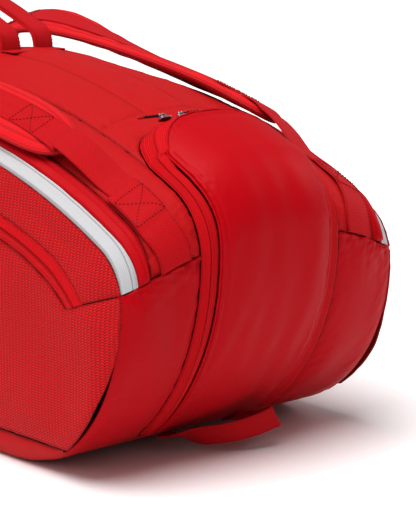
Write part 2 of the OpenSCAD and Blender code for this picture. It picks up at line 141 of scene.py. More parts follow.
# ---------- materials ----------
class Nodes:
    """Short hand for building a node tree."""

    def __init__(self, tree):
        self.tree = tree

    def add(self, kind, **values):
        node = self.tree.nodes.new(kind)
        for key, value in values.items():
            if key in node.inputs:
                self.feed(node.inputs[key], value)
            else:
                setattr(node, key, value)
        return node

    def feed(self, socket, value):
        if isinstance(value, bpy.types.NodeSocket):
            self.tree.links.new(value, socket)
        else:
            socket.default_value = value

    def math(self, operation, *values, clamp=False):
        node = self.tree.nodes.new("ShaderNodeMath")
        node.operation, node.use_clamp = operation, clamp
        for socket, value in zip(node.inputs, values):
            self.feed(socket, value)
        return node.outputs[0]

    def mix(self, share, a, b):
        node = self.tree.nodes.new("ShaderNodeMix")
        node.data_type = "RGBA"
        for socket, value in ((node.inputs[0], share), (node.inputs[6], a), (node.inputs[7], b)):
            self.feed(socket, value)
        return node.outputs[2]

    def wave(self, value, period, phase=0.0):
        """0 to 1 cosine wave of value."""
        turned = self.math("MULTIPLY", value, 2 * np.pi / period)
        return self.half(self.math("COSINE", self.math("ADD", turned, phase)))

    def half(self, value):
        """Brings a value of -1 to 1 into 0 to 1."""
        return self.math("MULTIPLY_ADD", value, 0.5, 0.5)


def plain_weave(n, u, v, period):
    """Over-under threads: height of a plain weave."""
    return n.math("MULTIPLY", n.wave(n.math("ADD", u, v), period), n.wave(n.math("SUBTRACT", u, v), period))


def twill(n, u, v, period):
    """Fine slanting ribs crossed by finer threads."""
    slant = n.wave(n.math("ADD", n.math("MULTIPLY", u, 0.6), v), period)
    return n.math("MAXIMUM", slant, n.wave(u, period * 0.5))


def knit_mesh(n, u, v, period):
    """Zigzag rows of slanting dashes with narrow dark slits between them."""
    zigzag = n.math("PINGPONG", u, period * 0.5)
    row = n.wave(n.math("ADD", v, n.math("MULTIPLY", zigzag, 0.7)), period * 0.55)
    dash = n.math("ADD", n.math("MULTIPLY", n.wave(u, period), 0.5), 0.5)
    return n.math("MULTIPLY", n.math("POWER", row, 0.7), dash)


def webbing_weave(n, u, v, period):
    """Lengthwise ribs broken by a herringbone of crossing threads."""
    zigzag = n.math("PINGPONG", u, period * 4)
    return n.math("MULTIPLY", n.wave(u, period), n.wave(n.math("ADD", v, zigzag), period * 1.4))


def tape_weave(n, u, v, period):
    """Even lengthwise cords of a zip tape."""
    return n.math("MULTIPLY", n.wave(u, period), n.half(n.wave(v, period * 0.6)))


def air_mesh(n, u, v, period):
    """Small round holes set in staggered rows."""
    hole = n.math("MULTIPLY", n.wave(n.math("ADD", u, v), period), n.wave(n.math("SUBTRACT", u, v), period))
    return n.math("SUBTRACT", 1.0, n.math("POWER", hole, 1.5))


def material(name, colour, roughness=0.6, weave=0.0008, bump=0.3, pattern=plain_weave, valley=0.75, peak=1.0,
             sheen=0.0, metallic=0.0, mottle=0.08, coat=0.0, gloss=0.18):
    """A woven or plain finish: a pattern in surface metres drives colour and bump, with slow mottling.
    The mesh attribute "seam" darkens the cloth where it turns into a seam, as painted shade in the seam's
    groove."""
    made = bpy.data.materials.new(name)
    made.use_nodes = True
    tree = made.node_tree
    n = Nodes(tree)
    shader = tree.nodes["Principled BSDF"]
    uv = n.add("ShaderNodeSeparateXYZ", Vector=n.add("ShaderNodeUVMap").outputs[0])
    height = pattern(n, uv.outputs[0], uv.outputs[1], weave)
    place = n.add("ShaderNodeTexCoord").outputs["Object"]
    slow = n.add("ShaderNodeTexNoise", Vector=place, Scale=9.0, Detail=3.0)
    fine = n.add("ShaderNodeTexNoise", Vector=place, Scale=900.0, Detail=2.0)
    # Painted shade and highlight: the pattern's hollows take the darker valley colour and its raised threads
    # the lighter peak colour.
    low = [c * valley for c in colour] + [1]
    high = [min(1, c * peak) for c in colour] + [1]
    tint = n.mix(height, low, high)
    dark = [c * (1 - 2.2 * mottle) for c in colour] + [1]
    tint = n.mix(n.math("MULTIPLY", slow.outputs[0], mottle * 3, clamp=True), tint, dark)
    # Painted shade: where the "seam" attribute is high the colour goes towards a quarter of itself, standing
    # in for the shade in seams, grooves and slits.
    seam = n.add("ShaderNodeAttribute", attribute_name="seam")
    deep = [c * 0.25 for c in colour] + [1]
    tint = n.mix(n.math("MULTIPLY", seam.outputs["Fac"], 0.6, clamp=True), tint, deep)
    tree.links.new(tint, shader.inputs["Base Color"])
    rough = n.add("ShaderNodeMapRange", Value=fine.outputs[0])
    rough.inputs["To Min"].default_value = max(0.02, roughness - 0.06)
    rough.inputs["To Max"].default_value = min(1.0, roughness + 0.08)
    tree.links.new(rough.outputs[0], shader.inputs["Roughness"])
    grain = n.math("ADD", height, n.math("MULTIPLY", fine.outputs[0], 0.35))
    relief = n.add("ShaderNodeBump", Height=grain, Strength=bump, Distance=min(weave, 0.002) * 0.35)
    tree.links.new(relief.outputs[0], shader.inputs["Normal"])
    plain = {"Metallic": metallic, "Sheen Weight": sheen, "Sheen Roughness": 0.45,
             "Sheen Tint": (1.0, 0.45, 0.42, 1.0), "Coat Weight": coat,
             "Specular IOR Level": gloss if metallic == 0 else 0.5}
    for key, value in plain.items():
        shader.inputs[key].default_value = value
    return made


RED = (0.60, 0.008, 0.012)
SATIN_RED = (0.50, 0.0010, 0.008)
MESH_RED = (0.54, 0.014, 0.018)
WEB_RED = (0.62, 0.006, 0.013)
TAPE_RED = (0.66, 0.005, 0.012)
FOLD_RED = (0.58, 0.002, 0.009)
TAPE_WHITE = (0.52, 0.52, 0.53)
PAD_RED = (0.66, 0.014, 0.02)
BINDING_RED = (0.66, 0.007, 0.014)
SMOOTH = material("red_smooth", RED, 0.55, 0.0009, 0.25, sheen=0.04, gloss=0.14)
SATIN = material("red_satin", SATIN_RED, 0.42, 0.0008, 0.12, twill, 0.92, sheen=0.02, gloss=0.10)
# The mesh's raised dashes get a painted highlight (peak 1.5) and its slits painted shade (valley 0.52).
MESH = material("red_mesh", MESH_RED, 0.5, 0.0048, 0.8, knit_mesh, 0.52, 1.5, sheen=0.04, gloss=0.08)
WEBBING = material("red_webbing", WEB_RED, 0.5, 0.0016, 0.7, webbing_weave, 0.72, 1.15,
                   sheen=0.06, gloss=0.1)
RED_TAPE = material("red_zip_tape", TAPE_RED, 0.5, 0.0021, 0.7, tape_weave, 0.78, 1.1, sheen=0.04, gloss=0.1)
FOLD = material("red_fold", FOLD_RED, 0.5, 0.0009, 0.2, sheen=0.04, gloss=0.1)
WHITE_TAPE = material("white_zip_tape", TAPE_WHITE, 0.55, 0.0022, 0.25, tape_weave, 0.93, 1.05, mottle=0.02)
AIR_MESH = material("strap_air_mesh", PAD_RED, 0.55, 0.0032, 0.8, air_mesh, 0.5, 1.2, sheen=0.08, gloss=0.1)
BINDING = material("strap_binding", BINDING_RED, 0.5, 0.0022, 0.9, tape_weave, 0.75, 1.15, sheen=0.06)
LINING = material("grey_lining", (0.12, 0.12, 0.13), 0.7, 0.0007, 0.3, valley=0.8)
THREAD = material("red_thread", (0.27, 0.001, 0.004), 0.5, 0.0006, 0.5, valley=0.8)
METAL = material("slider_metal", (0.55, 0.55, 0.57), 0.3, 0.003, 0.04, mottle=0.12, metallic=1.0)
CORD = material("pull_cord", (0.11, 0.006, 0.01), 0.55, 0.0009, 0.8, webbing_weave, 0.6)
TIP = material("pull_tip", (0.6, 0.004, 0.01), 0.35, 0.003, 0.05, coat=0.2)
BOARD = material("black_board", (0.02, 0.02, 0.02), 0.6, 0.004, 0.15)


# ---------- mesh helpers ----------
def unit(v):
    return v / np.maximum(np.linalg.norm(v, axis=-1, keepdims=True), 1e-12)


def smooth_step(v):
    c = np.clip(v, 0, 1)
    return c * c * (3 - 2 * c)


def fade(d, width, power=2):
    """1 where d is zero, falling to nothing past width."""
    return np.exp(-((d / width) ** power))


def rounded(v, power):
    """Powers a cosine or sine below 1, which squares off the circle it draws."""
    return np.sign(v) * np.abs(v) ** power


def along(points, axis=0):
    """Distance walked along an axis of a grid of points, starting from 0."""
    step = np.linalg.norm(np.diff(points, axis=axis), axis=-1)
    return np.concatenate([np.zeros_like(np.take(step, [0], axis)), np.cumsum(step, axis)], axis)


def resample(line, count):
    """The same line with count points an even distance apart."""
    walked = along(line)
    places = np.linspace(0, walked[-1], count)
    return np.stack([np.interp(places, walked, line[:, k]) for k in range(3)], -1)


def ripple(points, length, seed, squeeze=(1, 1, 1)):
    """Soft waves about -1 to 1, with wavelengths near length, the same on every run."""
    rng = np.random.default_rng(seed)
    total = np.zeros(points.shape[:-1])
    for _ in range(16):
        way = unit(rng.normal(size=3)) * np.array(squeeze)
        wavelength = length * rng.uniform(0.6, 1.7)
        total += np.sin(points @ way * 2 * np.pi / wavelength + rng.uniform(0, 2 * np.pi))
    return total / 4


def grid_normals(points, inside):
    """Unit normals of a grid, turned away from the point or points inside."""
    n = unit(np.cross(np.gradient(points, axis=0), np.gradient(points, axis=1)))
    away = np.sum(n * (points - inside), -1, keepdims=True)
    return n * np.where(np.sum(away) < 0, -1, 1)


def edge_distance(points, edges):
    """Distance from the named edges of a grid: first and last row "f" "l", first and last column "a" "z"."""
    rows, cols = along(points, 0), along(points, 1)
    sets = {"f": rows, "l": rows[-1:] - rows, "a": cols, "z": cols[:, -1:] - cols}
    far = np.full(points.shape[:2], 1.0)
    return np.minimum.reduce([far] + [sets[e] for e in edges])


class Piece:
    """One object gathered from grids, swept bands and stitches."""

    def __init__(self, name):
        self.name = name
        self.verts, self.faces, self.uvs, self.slots, self.seams, self.materials = [], [], [], [], [], []
        self.count = 0

    def take(self, verts, faces, uv, finish, seam=None):
        if finish not in self.materials:
            self.materials.append(finish)
        self.faces += [[i + self.count for i in f] for f in faces]
        self.slots += [self.materials.index(finish)] * len(faces)
        self.verts.append(verts)
        self.uvs.append(uv)
        self.seams.append(np.zeros(len(verts)) if seam is None else seam)
        self.count += len(verts)

    def grid(self, points, finish, seam=None, inside=(0, 0, 0.15), turn=False, uv=None):
        """A sheet of quads. Its pattern follows the sheet, unless uv gives two coordinates in metres."""
        rows, cols = points.shape[:2]
        u = np.broadcast_to(along(points[rows // 2]), (rows, cols))
        v = np.broadcast_to(along(points[:, cols // 2])[:, None], (rows, cols))
        uv = np.stack([v, u] if turn else [u, v], -1).reshape(-1, 2) if uv is None else uv.reshape(-1, 2)
        n = np.cross(np.gradient(points, axis=0), np.gradient(points, axis=1))
        flip = np.sum(n * (points - np.array(inside))) < 0
        corner = (np.arange(rows - 1)[:, None] * cols + np.arange(cols - 1)).ravel()
        quads = np.stack([corner, corner + cols, corner + cols + 1, corner + 1], -1)
        faces = (quads[:, ::-1] if flip else quads).tolist()
        self.take(points.reshape(-1, 3), faces, uv, finish, None if seam is None else seam.ravel())

    def sweep(self, route, sides, ups, profile, finish, caps=True):
        """A closed profile of (side, up) points carried along a route. Widths may vary: sides carry them."""
        rows, cols = len(route), len(profile)
        profile = np.asarray(profile, float)
        ring = route[:, None] + sides[:, None] * profile[None, :, :1] + ups[:, None] * profile[None, :, 1:]
        around = along(np.vstack([profile, profile[:1]]))
        u = np.broadcast_to(around[:-1], (rows, cols))
        v = np.broadcast_to(along(route)[:, None], (rows, cols))
        forward = np.cross(sides[0], ups[0]) @ (route[1] - route[0])
        after = np.roll(profile, -1, 0)
        turn = np.sum(profile[:, 0] * after[:, 1] - after[:, 0] * profile[:, 1])
        flip = forward * turn < 0
        faces = []
        for i in range(rows - 1):
            for j in range(cols):
                k = (j + 1) % cols
                quad = [i * cols + j, i * cols + k, (i + 1) * cols + k, (i + 1) * cols + j]
                faces.append(quad[::-1] if flip else quad)
        if caps:
            start, end = list(range(cols))[::-1], [(rows - 1) * cols + j for j in range(cols)]
            faces += [start[::-1], end[::-1]] if flip else [start, end]
        self.take(ring.reshape(-1, 3), faces, np.stack([u, v], -1).reshape(-1, 2), finish)

    def tube(self, line, radius, finish, sides=8):
        """A round cord along a line; radius may change along it."""
        route = np.asarray(line, float)
        way = unit(np.gradient(route, axis=0))
        helper = np.where(np.abs(way[:, 2:3]) < 0.9, np.array([[0, 0, 1.0]]), np.array([[1.0, 0, 0]]))
        side = unit(np.cross(way, helper))
        up = np.cross(side, way)
        radius = np.broadcast_to(radius, (len(route),))[:, None]
        angle = np.linspace(0, 2 * np.pi, sides, endpoint=False)
        self.sweep(route, side * radius, up * radius, np.stack([np.cos(angle), np.sin(angle)], -1), finish)

    def stitches(self, line, normals, finish, length=0.0028, gap=0.0012, width=0.00045, lift=0.0002):
        """A row of short threads along a line on a surface."""
        walked = along(line)
        count = int(walked[-1] / (length + gap))
        if count < 1:
            return
        starts = (np.arange(count) + 0.5) * walked[-1] / count - length / 2
        at = lambda s, data: np.stack([np.interp(s, walked, data[:, k]) for k in range(3)], -1)
        a, b = at(starts, line), at(starts + length, line)
        up = unit(at(starts + length / 2, normals))
        side = unit(np.cross(b - a, up)) * width
        middle = (a + b) / 2 + up * (lift + width)
        verts = np.stack([a, middle + side, middle + up * width * 0.4, middle - side, b], 1).reshape(-1, 3)
        shape = [[0, 1, 2], [0, 2, 3], [4, 2, 1], [4, 3, 2]]
        faces = [[5 * i + k for k in f] for i in range(count) for f in shape]
        self.take(verts, faces, np.tile([[0.0, 0.0]], (len(verts), 1)), finish)

    def make(self, body=None, replaces=(), thick=0.0, smooth=True):
        mesh = bpy.data.meshes.new(self.name)
        verts, uv = np.concatenate(self.verts), np.concatenate(self.uvs)
        mesh.from_pydata(verts.tolist(), [], self.faces)
        for finish in self.materials:
            mesh.materials.append(finish)
        layer = mesh.uv_layers.new(name="UVMap")
        corners = np.zeros(len(mesh.loops), np.int32)
        mesh.loops.foreach_get("vertex_index", corners)
        layer.data.foreach_set("uv", uv[corners].astype(np.float32).ravel())
        mesh.polygons.foreach_set("material_index", np.array(self.slots, np.int32))
        mesh.polygons.foreach_set("use_smooth", np.full(len(mesh.polygons), smooth))
        # The "seam" attribute holds painted shade for seams, grooves, slits and edges.
        seam = mesh.attributes.new("seam", "FLOAT", "POINT")
        seam.data.foreach_set("value", np.concatenate(self.seams).astype(np.float32))
        # Sharp rims keep a sheet's shading smooth up to its edge.
        edges = np.zeros(len(mesh.loops), np.int32)
        mesh.loops.foreach_get("edge_index", edges)
        rim = mesh.attributes.new("sharp_edge", "BOOLEAN", "EDGE")
        rim.data.foreach_set("value", np.bincount(edges, minlength=len(mesh.edges)) == 1)
        mesh.update()
        piece = bpy.data.objects.new(self.name, mesh)
        bpy.context.scene.collection.objects.link(piece)
        if thick:
            solid = piece.modifiers.new("cloth_thickness", "SOLIDIFY")
            solid.thickness, solid.offset = thick, -1
        if replaces:
            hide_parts(*replaces)
        if body:
            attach(piece, body)
        return piece


def sewn(name, points, finish, seam, inside, body, nodes, thick=0.002):
    """One sheet of cloth as a piece of its own."""
    piece = Piece(name)
    piece.grid(points, finish, seam, inside)
    return piece.make(body, nodes, thick=thick)


def tucked(points, inside, edges, depth=0.0020, reach=0.0045):
    """A panel whose named edges turn down into their seams. Gives points, normals and seam darkness, which
    is painted shade in the seam.
    """
    n = grid_normals(points, inside)
    d = edge_distance(points, edges)
    down = depth * fade(d, reach, 1.3)
    # The last value is painted shade where the edge turns down into its seam.
    return points - n * down[..., None], n, fade(d, 0.0011)


def puckers(points, d, spacing=0.011, depth=0.0006, reach=0.014, seed=1):
    """Small gathers beside a seam that fade out over reach."""
    return depth * np.exp(-d / reach) * ripple(points, spacing, seed)


# ---------- the bag's skin ----------
def share(x):
    """How far x is from the centre panel's seam (0) to the side seam (1)."""
    return np.maximum(0, (np.abs(x) - CENTRE_X) / (SEAM_X - CENTRE_X))


def rho(x):
    """Radius of the top arch, about the level ARCH_Z."""
    centre = RHO_SEAM + CROWN * (1 - (x / CENTRE_X) ** 2)
    shoulder = RHO_SEAM - SHOULDER_DROP * share(x) + LOBE_SWELL * np.sin(np.pi * np.minimum(share(x), 1))
    return np.where(np.abs(x) <= CENTRE_X, centre, shoulder)


def nose_y(x):
    return END_REACH - NOSE_ROUND * (x / SEAM_X) ** 4


def corner(x):
    return CORNER_R - CORNER_FALL * share(x)


def arch_end(x):
    return np.arcsin((nose_y(x) - corner(x)) / (rho(x) - corner(x)))


def nose_z(x):
    return ARCH_Z + (rho(x) - corner(x)) * np.cos(arch_end(x))


def low_turn(x):
    return 2 * np.arctan2(nose_y(x) - TOE_Y, nose_z(x) - TOE_Z)


def low_r(x):
    return (nose_z(x) - TOE_Z) / np.sin(low_turn(x))


ROCKER_R = ((TOE_Y - FLAT_Y) ** 2 + TOE_Z**2) / (2 * TOE_Z)
ROCKER_TURN = np.arcsin((TOE_Y - FLAT_Y) / ROCKER_R)


def skin(x, t, off=0.0):
    """Point on the skin at x. t: 0-1 top arch, 1-2 corner, 2-3 end, 3-4 lifted base.
    Below 0 it is the flap end."""
    x, t, off = np.broadcast_arrays(*(np.asarray(v, float) for v in (x, t, off)))
    a = np.abs(t)
    top, low = arch_end(x) * a, low_turn(x) * (a - 2)
    turn = arch_end(x) + (np.pi / 2 - arch_end(x)) * (a - 1)
    rock = ROCKER_TURN * (4 - a)
    parts = [a <= 1, a <= 2, a <= 3]
    y = np.select(parts, [rho(x) * np.sin(top), nose_y(x) - corner(x) * (1 - np.sin(turn)),
                          nose_y(x) - low_r(x) * (1 - np.cos(low))], FLAT_Y + ROCKER_R * np.sin(rock))
    z = np.select(parts, [ARCH_Z + rho(x) * np.cos(top), nose_z(x) + corner(x) * np.cos(turn),
                          nose_z(x) - low_r(x) * np.sin(low)], ROCKER_R * (1 - np.cos(rock)))
    ny = np.select(parts, [np.sin(top), np.sin(turn), np.cos(low)], np.sin(rock))
    nz = np.select(parts, [np.cos(top), np.cos(turn), -np.sin(low)], -np.cos(rock))
    return np.stack([x, np.where(t < 0, -1, 1) * (y + off * ny), z + off * nz], -1)


def seam_t(x):
    """Where the shoulder's cloth meets the end lobe."""
    return 2 - np.radians(4 + 9 * share(x) ** 3) / (np.pi / 2 - arch_end(x))


def side_top(y):
    a, r = np.abs(y), corner(SEAM_X)
    cy = nose_y(SEAM_X) - r
    arch = ARCH_Z + np.sqrt(rho(SEAM_X) ** 2 - a * a)
    bend = nose_z(SEAM_X) + np.sqrt(np.maximum(0, r * r - np.clip(a - cy, 0, None) ** 2))
    return np.where(a <= rho(SEAM_X) * np.sin(arch_end(SEAM_X)), arch, bend)


def side_low(y):
    a, r = np.abs(y), low_r(SEAM_X)
    turn = np.arccos(np.clip(1 - (nose_y(SEAM_X) - a) / r, -1, 1))
    return np.where(a <= TOE_Y, TOE_Z, nose_z(SEAM_X) - r * np.sin(turn))


def side_x(y, z):
    """The outer face of the side, on +X."""
    w = np.maximum(side_top(y) - z, 0)
    grow = smooth_step((0.368 - np.abs(y)) / 0.040)
    return SEAM_X + SHELL + SIDE_BELLY * grow * (1 - (1 - np.minimum(w / 0.11, 1)) ** 2) * (
        1 - (1 - np.clip(z / 0.09, 0, 1)) ** 2)


def pocket_zip_z(y):
    """Height of the pocket zip's middle line, which drops towards both ends."""
    drop = 0.016 * (np.maximum(0, np.abs(y) - 0.262) / 0.045) ** 2
    return POCKET_ARCH_Z + np.sqrt(rho(SEAM_X) ** 2 - y * y) - drop


def flap_half(t):
    """Half width of the flap: widest at its upper corners."""
    a = np.abs(t)
    return 0.0735 + 0.0045 * fade(a - 1.05, 0.35) - 0.004 * smooth_step((a - 2.5) / 0.5)


def flap_proud(x, t):
    """Height of the flap over the skin. Its side edges stand up a little, on the wall of the zip band."""
    a = np.abs(t)
    low = LOW_RISE * (1 - np.clip(a - 2, 0, 1) ** 2)
    high = np.where(a < 1, FLAP_RISE, np.where(a < 2, FLAP_RISE - (FLAP_RISE - LOW_RISE) * (a - 1), low))
    return high * (0.36 + 0.64 * np.sqrt(np.maximum(0, 1 - (np.abs(x) / flap_half(t)) ** 3.4)))


def flap_top_t(x):
    return np.radians(21.2 + 2.9 * np.minimum(np.abs(x) / FLAP_X, 1) ** 4) / arch_end(x)


def band_top_t(x):
    """Upper edge of the flap's zip band on the skin."""
    return 0.752 + 0.14 * (np.abs(x) / CENTRE_X) ** 8


# A point well below the bag, which the top's cloth faces away from.
BELOW = np.array([0, 0, -0.3])


# ---------- centre: top panel, end flap and its zip ----------
TOP_CUT_Y, TOP_SEAM_X = -0.2235, 0.030


def mirror(points, sign):
    return points * np.array([sign, 1, 1])


def top_swell(x, y):
    """The stuffing lifts the top panel over the middle of the bag."""
    return 0.009 * (1 - (x / CENTRE_X) ** 2) * fade(y, 0.13)


def make_top_panel():
    x, v = np.meshgrid(np.linspace(-CENTRE_X, CENTRE_X, 75), np.linspace(0, 1, 230))
    flat = skin(x, -band_top_t(x) * (1 - v) + v)
    points, n, seam = tucked(flat, BELOW, "flaz")
    y = flat[..., 1]
    lateral = np.abs(y - TOP_CUT_Y)
    beyond = smooth_step((TOP_CUT_Y + 0.004 - y) / 0.01) + smooth_step(y / 0.01)
    lengthwise = np.abs(np.abs(x) - TOP_SEAM_X) + 0.02 * beyond
    grooves = sum(fade(d, 0.0022) for d in (lateral, lengthwise))
    soft = 0.0013 * ripple(flat, 0.11, 3, (1, 0.5, 1)) + 0.0005 * ripple(flat, 0.035, 4)
    d = edge_distance(flat, "flaz")
    lift = soft * smooth_step(d / 0.02) + puckers(flat, np.minimum(d, lateral), seed=5)
    points = points + n * (lift + top_swell(x, y) - 0.0012 * grooves)[..., None]
    # Painted shade in the seam grooves: darkness along the lateral and lengthwise seams.
    dark = np.maximum(seam, 0.55 * fade(np.minimum(lateral, lengthwise), 0.0009))
    sewn("top_cloth", points, SMOOTH, dark, BELOW, "bag", ["top_panel"])


def zip_band_edges():
    """Inner and outer edges of the zip band on +X, matched point by point, from the toe to the middle."""
    t = np.linspace(2.97, 0.95, 170)
    inner_side = skin(flap_half(t) + 0.0004, -t, flap_proud(flap_half(t), t) - 0.0005)
    outer_side = skin(np.full(170, 0.0913), -t)
    f = np.linspace(1, 0, 260) ** 0.6
    x = f * flap_half(0.8)
    t_in = flap_top_t(x) - 0.003
    over = skin(x, -t_in, flap_proud(x, t_in))
    inner_top = resample(np.vstack([inner_side[-1:], over]), 130)
    x = np.linspace(0.0913, 0, 260)
    outer_top = resample(np.vstack([outer_side[-1:], skin(x, -band_top_t(x))]), 130)
    return np.vstack([inner_side, inner_top[1:]]), np.vstack([outer_side, outer_top[1:]])


def whole_u(half):
    """The U on both sides of the bag from its +X half."""
    return np.vstack([half, mirror(half, -1)[-2::-1]])


def band_profile(s):
    """Height of the zip band across its width: turned-in edges, a raised coil, a slit in the middle."""
    edge = -0.0014 * (fade(s, 0.09) + fade(1 - s, 0.09))
    coil = 0.0011 * fade(s - 0.5, 0.17, 4)
    slit = -0.0011 * fade(s - 0.5, 0.02)
    cords = 0.0003 * np.cos(s * 2 * np.pi * 7)
    return edge + coil + slit + cords


def make_flap_zip():
    inner, outer = (whole_u(e) for e in zip_band_edges())
    inside = np.array([0, -0.24, 0.18])
    for name, low, high, slot in (("zip_band_outer", 0.5, 1.0, True), ("zip_band_inner", 0.0, 0.5, False)):
        s = np.linspace(low, high, 12)
        flat = inner[:, None] * (1 - s[None, :, None]) + outer[:, None] * s[None, :, None]
        n = grid_normals(flat, inside)
        bulge = 0.0012 * np.sin(np.pi * s) + band_profile(s)
        points = flat + n * bulge[None, :, None]
        # Painted shade in the coil's middle slit and along the band's turned-in edges.
        seam = np.broadcast_to(fade(s - 0.5, 0.016) + fade(s, 0.035)
                               + fade(1 - s, 0.035), flat.shape[:2])
        piece = Piece(name)
        piece.grid(points, RED_TAPE, np.minimum(seam, 1), inside)
        if slot:
            made = piece.make("bag", ["flap_zip_tape"], thick=0.0012)
        else:
            made = piece.make(None, (), thick=0.0012)
            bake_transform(made)


def make_flap():
    f, v = np.meshgrid(np.sin(np.linspace(-1, 1, 91) * np.pi / 2 * 0.985), np.linspace(0, 1, 190))
    t = (flap_top_t(f * FLAP_X) + 0.001) * (1 - v) + 2.985 * v
    x = f * flap_half(t) * 0.996
    flat = skin(x, -t, flap_proud(x, t))
    inside = np.array([0, -0.2, 0.18])
    points, n, seam = tucked(flat, inside, "faz", 0.0016, 0.0030)
    d = edge_distance(flat, "faz")
    # Soft upright folds that follow the flap down, deeper over the middle of the end.
    height = along(flat)
    sway = x + 0.010 * np.sin(height * 9) + 0.006 * np.sin(height * 23 + 1)
    folds = ripple(np.stack([sway, height * 0.16, 0 * x], -1), 0.040, 11)
    creases = ripple(np.stack([x + 0.25 * height, height * 0.3, 0 * x], -1), 0.022, 12)
    deep = smooth_step((t - 1.2) / 0.6)
    lift = (0.0011 * folds * (0.35 + 0.65 * deep) + 0.0003 * creases * deep) * smooth_step(d / 0.018)
    hem = 0.0011 * fade(d - 0.0038, 0.0022) - 0.0006 * fade(d - 0.0085, 0.0014)
    points = points + n * (lift + hem + puckers(flat, d, 0.009, 0.0004, seed=13))[..., None]
    piece = Piece("end_flap_cloth")
    piece.grid(points, SATIN, seam, inside)
    edge = np.vstack([points[::-1, 0], points[0, 1:-1], points[:, -1]])
    edge_n = np.vstack([n[::-1, 0], n[0, 1:-1], n[:, -1]])
    piece.tube(resample(edge + edge_n * 0.0006, 420), 0.0013, SATIN)
    made = piece.make(None, ["end_flap", "end_flap_foot"], thick=0.0022)
    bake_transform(made)


def make_far_centre():
    x, t = np.meshgrid(np.linspace(-CENTRE_X, CENTRE_X, 75), np.linspace(1.0, 3.0, 120))
    flat = skin(x, t)
    inside = np.array([0, 0.2, 0.15])
    points, n, seam = tucked(flat, inside, "flaz")
    d = edge_distance(flat, "flaz")
    lift = 0.0018 * ripple(flat, 0.10, 21, (1, 1, 0.5)) * smooth_step(d / 0.03) + puckers(flat, d, seed=22)
    sewn("far_centre_end_cloth", points + n * lift[..., None], SATIN, seam, inside,
         "bag", ["far_centre_end_panel"])


# ---------- shoulders, rain flaps and white racket zips ----------
FLAP_EDGE_X = 0.1475
ZIP_LINE_X = 0.1665


def make_shoulder(side, sign):
    x, v = np.meshgrid(np.linspace(CENTRE_X, FLAP_EDGE_X, 24), np.linspace(-1, 1, 270))
    flat = skin(x, v * seam_t(x))
    points, n, seam = tucked(flat, BELOW, "flaz")
    d = edge_distance(flat, "flaz")
    lift = 0.0012 * ripple(flat, 0.09, 31, (1, 0.6, 1)) * smooth_step(d / 0.015)
    lift = lift + puckers(flat, d, seed=32 + sign)
    sewn(side + "_shoulder_cloth", mirror(points + n * lift[..., None], sign), SMOOTH, seam, BELOW,
         "bag", [side + "_shoulder_panel"])


def make_rain_flap(side, sign):
    """A doubled strip that stands over the zip with a rolled edge and a second soft ridge."""
    s, v = np.meshgrid(np.linspace(0, 1, 26), np.linspace(-1, 1, 270))
    outer = ZIP_IN_X + 0.0038 - 0.0033 * smooth_step((np.abs(v) - 0.55) / 0.4)
    x = FLAP_EDGE_X + (outer - FLAP_EDGE_X) * s
    t = v * (seam_t(x) + 0.001)
    flat = skin(x, t)
    n = grid_normals(flat, BELOW)
    slack = 0.8 + 0.2 * ripple(flat, 0.14, 41 + sign)
    turned_in = np.sqrt(np.maximum(0, 1 - smooth_step((s - 0.80) / 0.20) ** 2))
    roll = 0.0042 * slack * smooth_step(s / 0.35) * turned_in
    dip = -0.0011 * fade(s - 0.42, 0.08)
    ends = smooth_step((1 - np.abs(v)) / 0.03)
    lift = -0.0028 * fade(s, 0.14) + (roll + dip) * (0.25 + 0.75 * ends)
    points = flat + n * (lift + 0.0003 * ripple(flat, 0.02, 43))[..., None]
    # Painted shade along the sewn edge and under the rolled edge.
    seam = np.maximum(fade(s, 0.07), fade(1 - s, 0.05))
    piece = Piece(side + "_rain_flap_cloth")
    piece.grid(mirror(points, sign), FOLD, seam, BELOW)
    line, normal = mirror(points[:, 6], sign), mirror(n[:, 6], sign)
    piece.stitches(line, normal, THREAD, width=0.0003)
    piece.make("bag", [side + "_rain_flap"], thick=0.0015)


SIDE_BEND_Y = (0.350, 0.262)


def side_blend(piece):
    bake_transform(piece)


def make_white_zip(side, sign):
    """The inner half of the tape is attached to the bag. The outer half, which belongs to the opening side,
    is made as one piece for each end and attached to no body.
    """

    def strip(x_low, x_high, cols, v_low, v_high, rows):
        x, v = np.meshgrid(np.linspace(x_low, x_high, cols), np.linspace(v_low, v_high, rows))
        flat = skin(x, v * seam_t(x))
        n = grid_normals(flat, BELOW)
        lift = 0.0006 * fade(x - ZIP_LINE_X, 0.0038, 4) - 0.0009 * fade(x - ZIP_LINE_X, 0.0004)
        lift = lift - 0.0022 * fade(x - SEAM_X, 0.0014) - 0.001 * smooth_step((0.1615 - x) / 0.001)
        # Painted shade in the gap along the zip line, where the two halves meet.
        seam = fade(x - ZIP_LINE_X, 0.00045) * 0.5
        return mirror(flat + n * (lift + 0.0002 * ripple(flat, 0.03, 51))[..., None], sign), seam

    points, seam = strip(ZIP_IN_X, ZIP_LINE_X, 14, -1, 1, 260)
    sewn(side + "_racket_zip_inner", points, WHITE_TAPE, seam, BELOW,
         "bag", [side + "_racket_zip_tape"], 0.001)
    for end, sign_y in ENDS:
        points, seam = strip(ZIP_LINE_X, SEAM_X, 24, 0, sign_y, 140)
        made = sewn(f"{side}_racket_zip_outer_{end}", points, WHITE_TAPE, seam, BELOW,
                    None, (), 0.001)
        side_blend(made)


